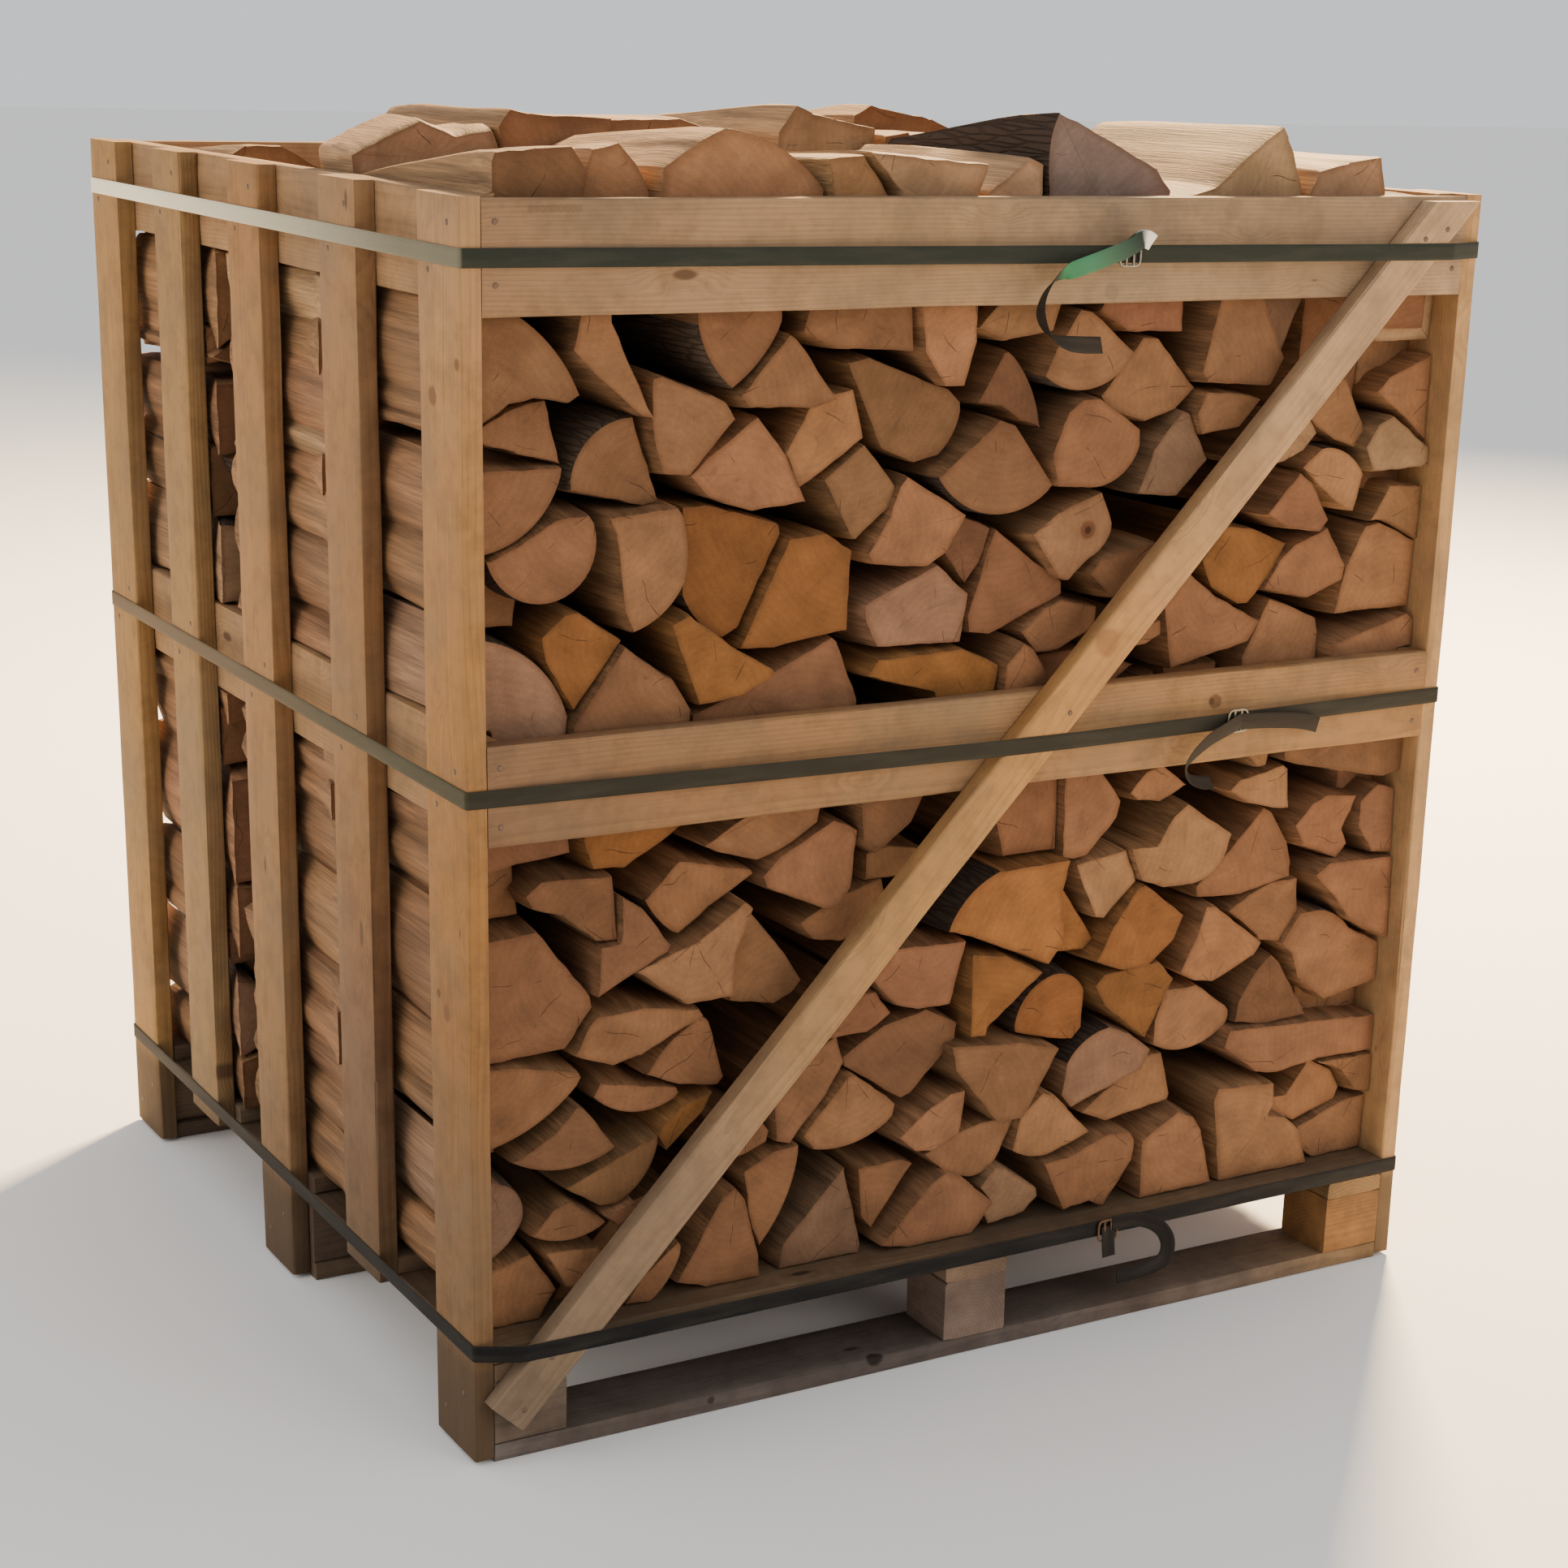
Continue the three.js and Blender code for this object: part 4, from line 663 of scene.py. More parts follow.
# The highest logs of a row that belong to its own piece
FIXED_TOPS = {
    "front": [
        (TAN, [(490, 1105), (496, 1238), (555, 1244), (555, 1105)]),
    ],
    "middle": [
        (DULL, [(-552, 1105), (-552, 1238), (-470, 1232), (-392, 1238), (-392, 1105)]),
        (TAN, [(-388, 1105), (-386, 1272), (-392, 1296), (-378, 1314), (-356, 1309), (-260, 1306),
            (-258, 1105)]),
        (PALE, [(-262, 1105), (-262, 1304), (-179, 1306), (-150, 1298), (-138, 1250), (-140, 1105)]),
        (TAN, [(-142, 1105), (-140, 1255), (-78, 1250), (-76, 1105)]),
        (TAN, [(68, 1105), (70, 1290), (102, 1295), (118, 1268), (118, 1105)]),
        (PALE, [(116, 1105), (116, 1262), (150, 1282), (262, 1286), (264, 1105)]),
        (TAN, [(262, 1105), (268, 1274), (300, 1284), (420, 1282), (432, 1262), (430, 1105)]),
        (TAN, [(428, 1105), (434, 1266), (470, 1280), (552, 1278), (555, 1252), (555, 1105)]),
    ],
    "back": [
        (PALE, [(-553, 1105), (-553, 1250), (-536, 1260), (-494, 1260), (-453, 1237), (-448, 1105)]),
        (TAN, [(-450, 1105), (-448, 1215), (-390, 1228), (-300, 1212), (-290, 1105)]),
        (TAN, [(-292, 1105), (-290, 1236), (-240, 1262), (-130, 1252), (-100, 1105)]),
        (PALE, [(-102, 1105), (-104, 1250), (-60, 1281), (10, 1270), (40, 1236), (40, 1105)]),
        (TAN, [(38, 1105), (40, 1244), (110, 1276), (220, 1270), (236, 1105)]),
        (TAN, [(234, 1105), (238, 1300), (262, 1313), (352, 1298), (399, 1280), (402, 1105)]),
        (TAN, [(400, 1105), (404, 1262), (470, 1276), (552, 1258), (555, 1105)]),
    ],
}


def outline_of(corners, spacing=13 * MM, chamfer=1.3 * MM):
    """The closed outline through corners, anticlockwise as seen from the front, at steps of about
    spacing, and whether bark starts at each point. A bulging side is the circle arc of that
    height over its chord: along = c/2 + r sin a, out = b - r (1 - cos a)."""
    plain = np.array([corner[:2] for corner in corners]) * MM
    bulges = np.array([corner[2] if len(corner) == 3 else 0 for corner in corners]) * MM
    ahead = np.roll(plain, -1, axis=0)
    if (plain[:, 0] * ahead[:, 1] - ahead[:, 0] * plain[:, 1]).sum() < 0:
        plain = plain[::-1]
        bulges = np.roll(bulges[::-1], -1)
    outline, barked = [], []
    for start, end, bulge in zip(plain, np.roll(plain, -1, axis=0), bulges):
        chord = np.linalg.norm(end - start)
        along = (end - start) / chord
        out = np.array([along[1], -along[0]])
        count = max(2, round(float((chord + 2 * bulge) / spacing)) + 1)
        if bulge:
            radius = (chord ** 2 / 4 + bulge ** 2) / (2 * bulge)
            half = 2 * np.arctan2(2 * bulge, chord)
            turn = np.linspace(-half, half, count + 2)
            run = chord / 2 + radius * np.sin(turn)
            rise = bulge - radius * (1 - np.cos(turn))
        else:
            trim = min(chamfer, chord / 4)
            run = np.linspace(trim, chord - trim, count)
            rise = np.zeros(count)
        points = start + run[:, None] * along + rise[:, None] * out
        outline.append(points[:-1] if bulge else points)
        barked.append(np.full(len(outline[-1]), bulge > 0))
    return np.concatenate(outline), np.concatenate(barked)


def smooth_noise(rng, rows, columns, row_count, column_count):
    """Random heights from -1 to 1 on a coarse grid, blended to rows by columns; columns wrap."""
    coarse = rng.uniform(-1, 1, (row_count, column_count))
    r = np.linspace(0, row_count - 1.001, rows)
    c = np.arange(columns) / columns * column_count
    r0, c0 = r.astype(int), c.astype(int)
    fr, fc = (r - r0)[:, None], (c - c0)[None, :]
    c1 = (c0 + 1) % column_count
    low = coarse[r0][:, c0] * (1 - fc) + coarse[r0][:, c1] * fc
    high = coarse[r0 + 1][:, c0] * (1 - fc) + coarse[r0 + 1][:, c1] * fc
    return low * (1 - fr) + high * fr


def inside_crate(places):
    """Points (x, z) moved into the crate: between its slats, above its deck, and between the side
    rails where those are."""
    x, z = places[..., 0], places[..., 1]
    at_rail = ((z > MIDDLE_RAIL[0]) & (z < MIDDLE_RAIL[1])) | (z > TOP_RAIL_FOOT)
    half = np.where(at_rail, HALF_ROOM_AT_RAIL, HALF_ROOM)
    return np.stack([x.clip(-half, half), z.clip(DECK_TOP)], -1)


def bulged_at_wall(side, outline, ease, rng, zone=32 * MM, most=12 * MM):
    """Log sides that don't lie flat against the slats: within a zone of 32 mm at a side wall, x
    moves in by e (12 mm v^2 + 12 mm n), where v runs from -1 to 1 up the log and n is smooth,
    0 to 1."""
    near = ((np.abs(side[..., 0]) - ZONE_START) / zone).clip(0, 1)
    low, high = outline[:, 1].min(), outline[:, 1].max()
    up = ((side[..., 1] - (low + high) / 2) / (high - low) * 2).clip(-1, 1)
    lumps = 0.5 + 0.5 * smooth_noise(rng, len(side), len(outline), 4, 7)
    inward = near * ease * (most * up ** 2 + most * lumps)
    return np.stack([side[..., 0] - np.sign(side[..., 0]) * inward, side[..., 1]], -1)


def split_log(corners, start, rng, mirror=1, fall=0.0, length=LOG_LENGTH):
    """One log: its outline carried along Y from start. With s the share of its length, its side
    moves out by g(u) + e(s) (3 mm + 3.5 mm n(u, s)), where g makes grooves along the grain, n is
    smooth and e grows from 0 to 1 near the seen end. Its middle drifts by a few mm times s, and
    what stands over the row falls by fall times s. The ends tilt a degree or two."""
    outline, barked = outline_of(corners)
    if mirror < 0:
        outline = outline[::-1] * (-1, 1)
        barked = np.roll(barked[::-1], -1)
    count = len(outline)
    tangent = np.roll(outline, -1, axis=0) - np.roll(outline, 1, axis=0)
    tangent /= np.linalg.norm(tangent, axis=1)[:, None]
    out = np.stack([tangent[:, 1], -tangent[:, 0]], -1)
    stations = np.array([0, 0.02, 0.1, 0.2, 0.32, 0.45, 0.58, 0.7, 0.81, 0.91, 0.98, 1.0])
    grooves = rng.uniform(-1, 0.35, count) * 1.1 * MM * ~barked
    ease = np.minimum(stations * 6, 1)[:, None]
    swell = 3.0 * MM + 3.5 * MM * smooth_noise(rng, len(stations), count, 4, 9)
    shift = grooves + ease * swell
    shift -= np.where((stations == 0) | (stations == 1), 0.9 * MM, 0)[:, None]
    middle = outline.mean(0)
    side = outline + shift[..., None] * out
    side = side + rng.uniform(-6, 6, 2) * MM * stations[:, None, None]
    over_row = ((side[..., 1] - ROW_TOP) / (60 * MM)).clip(0, 1)
    side[..., 1] -= fall * stations[:, None] * over_row
    side = bulged_at_wall(inside_crate(side), outline, ease, rng)
    inset = np.array([0.35, 0.86])[:, None, None]
    first_end = middle + (side[0] - middle) * inset
    last_end = middle + (side[-1] - middle) * inset[::-1]
    section = np.concatenate([first_end, side, last_end])
    tilt = rng.uniform(-0.035, 0.035, (2, 2))
    rough = rng.uniform(-0.35, 0.35, (2, 2, count)) * MM
    share = np.concatenate([[0, 0], stations, [1, 1]])[:, None]
    off_middle = section - middle
    lean = off_middle @ tilt[0] * (1 - share) + off_middle @ tilt[1] * share
    depth = share * length + lean
    depth[:2] += rough[0]
    depth[-2:] += rough[1]
    rings = np.stack([section[..., 0], depth + start, section[..., 1]], -1)
    points, quads, fans = loft(rings)
    ring = np.arange(len(quads)) // count
    on_side = (ring >= 2) & (ring < len(section) - 3)
    looks = np.where(on_side, np.where(barked[np.arange(len(quads)) % count], 2, 1), 0)
    looks = np.concatenate([looks, np.zeros(len(fans), int)])
    heart = heart_of(outline, barked, rng)
    around_heart = np.stack([points[:, 0] - heart[0], points[:, 2] - heart[1],
                             points[:, 1] + rng.uniform(0, 9)], -1)
    rim = np.concatenate([np.repeat([0, 0.25], count), np.ones(len(stations) * count),
                          np.repeat([0.25, 0], count), [0, 0]])
    return points, quads, fans, looks, around_heart, rim


def heart_of(outline, barked, rng):
    """Where the heart of the tree was: the point of the outline furthest from the bark, or on a
    log without bark a random corner, and a little beyond it."""
    middle = outline.mean(0)
    if barked.any():
        far = outline[np.argmax(np.linalg.norm(outline - outline[barked].mean(0), axis=1))]
    else:
        far = outline[rng.integers(len(outline))]
    return far + (far - middle) * rng.uniform(0.05, 0.5)


def join_logs(logs, rng):
    """Several split logs as one list of points and faces, with their looks and attributes."""
    points, faces, looks, hearts, tints, barks, rims = [], [], [], [], [], [], []
    offset = 0
    for tint, corners, start, *shape in logs:
        place, quads, fans, look, heart, rim = split_log(corners, start, rng, *shape)
        base = np.array(linear(tint)) * (*rng.normal(1, 0.025, 3), 1)
        base[:3] *= rng.normal(1, 0.15)
        points.append(place)
        faces += (quads + offset).tolist() + (fans + offset).tolist()
        looks.append(look)
        hearts.append(heart)
        rims.append(rim)
        tints.append(np.tile(base.clip(0, 1), (len(place), 1)))
        barks.append(np.tile(linear(BARK_TINTS[rng.integers(len(BARK_TINTS))]), (len(place), 1)))
        offset += len(place)
    rims = np.concatenate(rims)
    attributes = {
        "heart": np.concatenate(hearts),
        "tint": np.concatenate(tints),
        "bark_tint": np.concatenate(barks),
        "rim": np.stack([rims, rims, rims], -1),
    }
    return np.concatenate(points), faces, np.concatenate(looks), attributes


def sawn_end_material():
    """Sawn end grain of dry hardwood: fuzzy, with faint growth rings 4 mm apart and nine radial
    drying checks under 1 mm wide. It is matt, stained in clouds and darker at its rim."""
    material, tree, surface = new_material("sawn_hardwood_end_grain", 0.88, 0.2)
    heart = attribute(tree, "heart")
    across, deep, _ = parts_of(tree, heart)
    reach = length_of(tree, pair(tree, across, deep))
    wander = noise(tree, heart, 14.0, 2.0)
    bent = maths(tree, "MULTIPLY_ADD", wander, 20 * MM, reach)
    turns = maths(tree, "PINGPONG", maths(tree, "MULTIPLY", bent, 1 / END_RING_SPACING), 1.0)
    spokes = maths(tree, "MULTIPLY_ADD", maths(tree, "ARCTAN2", deep, across),
                   CHECK_COUNT / (2 * np.pi), wander)
    offset = maths(tree, "MULTIPLY", maths(tree, "PINGPONG", spokes, 0.5), reach)
    check = mapped(tree, offset, 0.02 * MM * CHECK_COUNT, 0.09 * MM * CHECK_COUNT, 1.0, 0.0)
    some = mapped(tree, noise(tree, heart, 30.0, 2.0), 0.53, 0.6, 0.0, 0.8)
    checks = maths(tree, "MULTIPLY", check, some)
    fuzz = noise(tree, heart, 600.0, 3.0, 0.7)
    light = maths(tree, "MULTIPLY", mapped(tree, turns, 0.0, 1.0, 0.96, 1.03),
                  mapped(tree, fuzz, 0.3, 0.7, 0.86, 1.12))
    stain = mapped(tree, noise(tree, heart, 24.0, 4.0, 0.6), 0.3, 0.7, 0.76, 1.22)
    wood = mixed(tree, 1.0, attribute(tree, "tint", "Color"), maths(tree, "MULTIPLY", light, stain),
                 "MULTIPLY")
    edge = mapped(tree, attribute(tree, "rim", "Fac"), 0.3, 1.0, 0.0, 0.45)
    darker = mixed(tree, edge, wood, linear("#54341f"))
    checked = mixed(tree, checks, darker, linear("#3a2316"))
    height = maths(tree, "MULTIPLY_ADD", checks, -2.0, fuzz)
    set_surface(tree, surface, spots(tree, END_KNOTS, checked), height, 0.5, 0.8 * MM)
    return material


def split_face_material():
    """A split face: torn fibres that run along the log, 1 to 3 mm wide, with darker streaks. It
    is a little paler all over, and much paler above the rails: painted sunlight on the top logs."""
    material, tree, surface = new_material("split_hardwood_face", 0.75, 0.3)
    heart = attribute(tree, "heart")
    fibre = noise(tree, times(tree, heart, (420, 420, 10)), 1.0, 4.0, 0.6)
    streak = noise(tree, times(tree, heart, (60, 60, 4)), 1.0, 3.0)
    light = maths(tree, "MULTIPLY", mapped(tree, fibre, 0.32, 0.68, 0.66, 1.22),
                  mapped(tree, streak, 0.35, 0.65, 0.68, 1.26))
    # Painted sunlight: split faces turn paler from 1.2 m up, where the top logs lie in the sun
    sun_share = mapped(tree, parts_of(tree, position(tree))[2], 1.2, 1.26, 0.15, 0.6)
    sunlit_wood = mixed(tree, sun_share, attribute(tree, "tint", "Color"), linear("#a8865c"))
    set_surface(tree, surface, mixed(tree, 1.0, sunlit_wood, light, "MULTIPLY"), fibre, 0.9, 1.6 * MM)
    return material


def bark_material():
    """Thin hardwood bark: plates 5 to 8 mm wide drawn out along the log, grey-brown and dark in
    the furrows."""
    material, tree, surface = new_material("hardwood_bark", 0.92, 0.15)
    heart = attribute(tree, "heart")
    furrow = node(tree, "ShaderNodeTexVoronoi",
                  {"Vector": times(tree, heart, (150, 150, 16)), "Scale": 1.0},
                  feature="DISTANCE_TO_EDGE").outputs["Distance"]
    height = maths(tree, "MULTIPLY_ADD", noise(tree, heart, 240.0, 4.0, 0.7), 0.5,
                   mapped(tree, furrow, 0.0, 0.16))
    share = mapped(tree, height, 0.2, 1.4, 0.76, 1.12)
    colour = mixed(tree, 1.0, attribute(tree, "bark_tint", "Color"), share, "MULTIPLY")
    set_surface(tree, surface, colour, height, 0.9, 2.0 * MM)
    return material


firewood_materials = [sawn_end_material(), split_face_material(), bark_material()]


def add_logs(name, logs, seed, *cad_nodes):
    """A piece of one or more logs, in place of CAD nodes."""
    points, faces, looks, attributes = join_logs(logs, np.random.default_rng(seed))
    piece = add_mesh(name, points, faces, attributes, sharp_angle=34)
    for material in firewood_materials:
        piece.data.materials.append(material)
    piece.data.polygons.foreach_set("material_index", looks.astype(np.int32))
    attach(piece, "root")
    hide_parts(*cad_nodes)


def row_of_logs(row, mirror, tops):
    """The logs of one row with the step of each end behind the foremost."""
    front = ROW_FRONTS[row]
    seen = [(tint, corners, front + (i * 3) % 4 * END_STEP, mirror)
            for i, (tint, corners) in enumerate(UPPER_LOGS + LOWER_LOGS)]
    deep = [(tint, corners, front + RECESS, mirror) for tint, corners in RECESSED_LOGS]
    hidden = [(tint, corners, front + HIDDEN_STEP, mirror, 0.0, LOG_LENGTH - HIDDEN_STEP)
              for tint, corners in HIDDEN_LOGS]
    upper = [(tint, corners, front + i % 4 * END_STEP, 1, TOP_FALLS[row])
             for i, (tint, corners) in enumerate(tops)]
    return seen + deep + hidden + upper


for seed, (row, mirror) in enumerate((("front", 1), ("middle", -1), ("back", 1)), start=1):
    add_logs("firewood_row_" + row, row_of_logs(row, mirror, FIXED_TOPS[row]), seed,
             f"logs_{row}_row")

# The eleven logs that lie loose on top of the front and middle rows. Most fall to the back.
TOP_FRONT_FALLS = [38, 22, 24, 20, 20, 10, 36, 14, 10]
TOP_MIDDLE_FALLS = [0, 20]
TOP_MIDDLE_LENGTHS = [90, 330]
for index, (tint, corners) in enumerate(TOP_FRONT_LOGS):
    start = ROW_FRONTS["front"] + (index * 3) % 4 * END_STEP
    add_logs(f"firewood_top_front_{index + 1}",
             [(tint, corners, start, 1, TOP_FRONT_FALLS[index] * MM)], 10 + index,
             f"log_top_front_{index + 1}")
for index, (tint, corners) in enumerate(TOP_MIDDLE_LOGS):
    start = ROW_FRONTS["middle"] + index * END_STEP
    add_logs(f"firewood_top_middle_{index + 1}",
             [(tint, corners, start, 1, TOP_MIDDLE_FALLS[index] * MM,
               TOP_MIDDLE_LENGTHS[index] * MM)],
             30 + index, f"log_top_middle_{index + 1}")

# Braces: one sawn batten 48 by 22 mm goes up across the rails at the front and one at the back,
# square at its foot and cut level at its top, nailed to the rails and to the corner block.
BRACE_WIDTH = 48 * MM
BRACE_FOOT = np.array([-573, 56]) * MM
BRACE_TOP = np.array([547, 1244]) * MM
BRACE_TINTS = ["#7f6a55", "#8f7357", "#a27a4b", "#a87c49", "#a88662", "#ab8d6c"]
BRACE_KNOTS = [(116, -577, 798, 16, 0.5, "#7d4f34")]
brace_softwood = sawn_softwood("sawn_softwood_of_braces", "#6f5f4b", 0.62, 0.2, "#5d4530",
                               BRACE_KNOTS)
run = BRACE_TOP - BRACE_FOOT
slope = np.arctan2(run[1], run[0])

for index, (face, outward) in enumerate((("front", -1), ("back", 1))):
    low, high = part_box("brace_" + face)
    thick = high.y - low.y
    rng = np.random.default_rng(300 + index)
    rings, grain = board_rings(np.linalg.norm(run), BRACE_WIDTH, thick, rng)
    rings[-1, :, 0] -= rings[-1, :, 1] / np.tan(slope)
    upward = np.array([np.cos(slope), 0, np.sin(slope)])
    sideways = np.array([-np.sin(slope), 0, np.cos(slope)])
    axes = np.stack([upward, sideways, [0, 1, 0]]) * (-outward, 1, 1)
    origin = np.array([-outward * BRACE_FOOT[0], (low.y + high.y) / 2, BRACE_FOOT[1]])
    shape = placed(rings, grain, axes, origin)
    add_board("brace_" + face, BRACE_TINTS, brace_softwood, shape)

# Nails: round steel nails, dull and a little rusty, two at each joint of the boards. Only
# their slightly domed heads show, 6 mm across.
NAIL_RADIUS = 3.0 * MM
NAIL_RISE = 0.8 * MM
SIDE = 600 * MM
FACE = 555 * MM
BOARD = 22 * MM
# In mm: how far back the slats' middles are, the nails' heights in the side rails, in the blocks
# and in the stringer between them, and in the front and back rails, and the nails' distance
# from a slat's middle and from a rail's end
SLAT_MIDDLES = (-506, -253, 20, 272, 506)
SIDE_RAIL_NAILS = [1181, 1226, 678, 720]
BLOCK_NAILS = [38, 72]
STRINGER_NAILS = [118]
FRONT_RAIL_NAILS = [1172, 1228, 668, 726]
OFF_MIDDLE = (24, -22)
OFF_END = 13
# The brace's nails: their share of its length, and mm from its middle
BRACE_NAILS = [(0.011, -8), (0.047, 5), (0.53, 11), (0.57, -10), (0.965, 4), (0.982, -11)]


def nail_heads(places, outward):
    """Domed discs at places (n, 3) on faces with normals outward (n, 3): rings of radius r and
    height h over the face, from h = -1 mm to the dome's top."""
    turn = np.linspace(0, 2 * np.pi, 10, endpoint=False)
    radius = np.array([1.0, 1.0, 0.85, 0.3]) * NAIL_RADIUS
    height = np.array([-1.0 * MM, 0.35 * NAIL_RISE, 0.8 * NAIL_RISE, NAIL_RISE])
    points, faces = [], []
    for place, normal in zip(places, outward):
        first = np.array([0, 0, 1.0])
        second = np.cross(normal, first)
        circle = np.cos(turn)[:, None] * first + np.sin(turn)[:, None] * second
        rings = radius[:, None, None] * circle + height[:, None, None] * normal + place
        made, quads, fans = loft(rings[:, ::-1])
        offset = sum(len(p) for p in points)
        points.append(made)
        faces += (quads + offset).tolist() + (fans + offset).tolist()
    return np.concatenate(points), faces


places, normals = [], []
for outward in (-1, 1):
    for i, y in enumerate(SLAT_MIDDLES):
        levels = SIDE_RAIL_NAILS + (BLOCK_NAILS if i % 2 == 0 else STRINGER_NAILS)
        for k, z in enumerate(levels):
            places.append([outward * SIDE, (y + OFF_MIDDLE[k % 2]) * MM, z * MM])
            normals.append([outward, 0, 0])
    for side in (-1, 1):
        for z in FRONT_RAIL_NAILS:
            places.append([side * (SIDE - BOARD - OFF_END * MM), outward * FACE, z * MM])
            normals.append([0, outward, 0])
    for along, across in BRACE_NAILS:
        x, z = BRACE_FOOT + run * along + np.array([-np.sin(slope), np.cos(slope)]) * across * MM
        places.append([-outward * x, outward * (FACE + BOARD), z])
        normals.append([0, outward, 0])
nail_steel, tree, surface = new_material("dull_nail_steel", 0.6, metallic=0.7)
steel = mixed(tree, noise(tree, position(tree), 320.0, 3.0), linear("#6a625a"), linear("#6e4c34"))
tree.links.new(steel, surface.inputs["Base Color"])
heads, head_faces = nail_heads(np.array(places), np.array(normals, float))
nails = add_mesh("nail_heads", heads, head_faces, sharp_angle=60)
nails.data.materials.append(nail_steel)
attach(nails, "root")

# Straps: woven polyester 17.5 mm wide and 1 mm thick, drawn tight round the corner slats and
# over the braces at three heights. Each ends in loose tails past its buckle at the front.
STRAP_WIDTH = 17.5 * MM
STRAP_THICK = 1.0 * MM
STRAP_GAP = 0.3 * MM
CORNER_ROUND = 4 * MM
YARN_SPACING = 1.5 * MM
WEFT_SPACING = 2 * MM


def seam(count, around):
    """The faces between the last and the first of count rings."""
    last = (count - 1) * around
    return [[last + j, j, (j + 1) % around, last + (j + 1) % around] for j in range(around)]


def with_more(points, faces, more, more_faces):
    """Points and faces with those of another surface after them."""
    moved = [[corner + len(points) for corner in face] for face in more_faces]
    return np.concatenate([points, more]), faces + moved


def ribbon(centre, across, outward, closed):
    """A flat band along centre points (n, 3): a rounded rectangle, STRAP_WIDTH along across and
    STRAP_THICK along outward, at each of them. weave is (distance along, distance across)."""
    a = np.array([1, 1, 0.94, 0.5, -0.5, -0.94, -1, -1, -0.94, -0.5, 0.5, 0.94]) * STRAP_WIDTH / 2
    b = np.array([-0.3, 0.3, 1, 1, 1, 1, 0.3, -0.3, -1, -1, -1, -1]) * STRAP_THICK / 2
    rings = centre[:, None] + across[:, None] * a[:, None] + outward[:, None] * b[:, None]
    step = np.linalg.norm(np.diff(centre, axis=0), axis=1)
    distance = np.concatenate([[0], np.cumsum(step)])
    weave = np.stack(np.broadcast_arrays(distance[:, None], a[None, :], b[None, :]), -1)
    weave = weave.reshape(-1, 3)
    points, quads, fans = loft(rings)
    if closed:
        return points[:-2], quads.tolist() + seam(len(centre), len(a)), weave
    ends = [[distance[0], 0, 0], [distance[-1], 0, 0]]
    return points, quads.tolist() + fans.tolist(), np.concatenate([weave, ends])


def strap_path(height, fall):
    """The way of a tight strap: straight from corner slat to brace and on, with its bends
    rounded. Its height falls from right to left by fall over the width."""
    on_brace = (height - BRACE_FOOT[1]) / np.tan(slope) + BRACE_FOOT[0]
    reach = BRACE_WIDTH / 2 / np.sin(slope) + STRAP_WIDTH / 2 / np.tan(slope) + 4 * MM
    away = STRAP_GAP + STRAP_THICK / 2
    x, y, over = SIDE + away, FACE + away, FACE + BOARD + away
    front = np.array([[-x, -y], [on_brace - reach, -over], [on_brace + reach, -over], [x, -y]])
    corners = np.concatenate([front, -front])
    before, after = np.roll(corners, 1, axis=0), np.roll(corners, -1, axis=0)
    points = []
    for start, corner, end in zip(before, corners, after):
        into = (start - corner) / np.linalg.norm(start - corner)
        onward = (end - corner) / np.linalg.norm(end - corner)
        share = np.linspace(0, 1, 5)[:, None]
        first, last = corner + into * CORNER_ROUND, corner + onward * CORNER_ROUND
        bend = first * (1 - share) ** 2 + 2 * corner * share * (1 - share) + last * share ** 2
        points.append(bend)
        length = np.linalg.norm(end - corner)
        steps = np.linspace(0, 1, max(3, int(length / (60 * MM))))[1:-1, None]
        points.append(last + (end - onward * CORNER_ROUND - last) * steps)
    path = np.concatenate(points)
    path = np.column_stack([path, height + fall * path[:, 0] / (2 * SIDE)])
    along = np.roll(path, -1, axis=0) - np.roll(path, 1, axis=0)
    along /= np.linalg.norm(along, axis=1)[:, None]
    across = np.tile([0.0, 0.0, 1.0], (len(path), 1))
    outward = np.cross(along, across)
    return path, across, outward


def curve_through(points, steps=7):
    """A smooth curve through points, by Catmull and Rom's cubic, with that many steps a span."""
    full = np.concatenate([[2 * points[0] - points[1]], points, [2 * points[-1] - points[-2]]])
    p0, p1, p2, p3 = full[:-3], full[1:-2], full[2:-1], full[3:]
    t = np.linspace(0, 1, steps, endpoint=False)[None, :, None]
    p0, p1, p2, p3 = (p[:, None] for p in (p0, p1, p2, p3))
    spans = 0.5 * (2 * p1 + (p2 - p0) * t + (2 * p0 - 5 * p1 + 4 * p2 - p3) * t ** 2
                   + (3 * p1 - p0 - 3 * p2 + p3) * t ** 3)
    return np.concatenate([spans.reshape(-1, points.shape[1]), points[-1:]])


def tail(route):
    """A loose end: route holds (x, y, z) in mm and the direction of its width at each point."""
    smooth = curve_through(np.array(route, float))
    centre, across = smooth[:, :3] * MM, smooth[:, 3:]
    along = np.gradient(centre, axis=0)
    along /= np.linalg.norm(along, axis=1)[:, None]
    across = across - (across * along).sum(1)[:, None] * along
    across /= np.linalg.norm(across, axis=1)[:, None]
    return ribbon(centre, across, np.cross(along, across), closed=False)


FORWARD = (0, -1, 0)
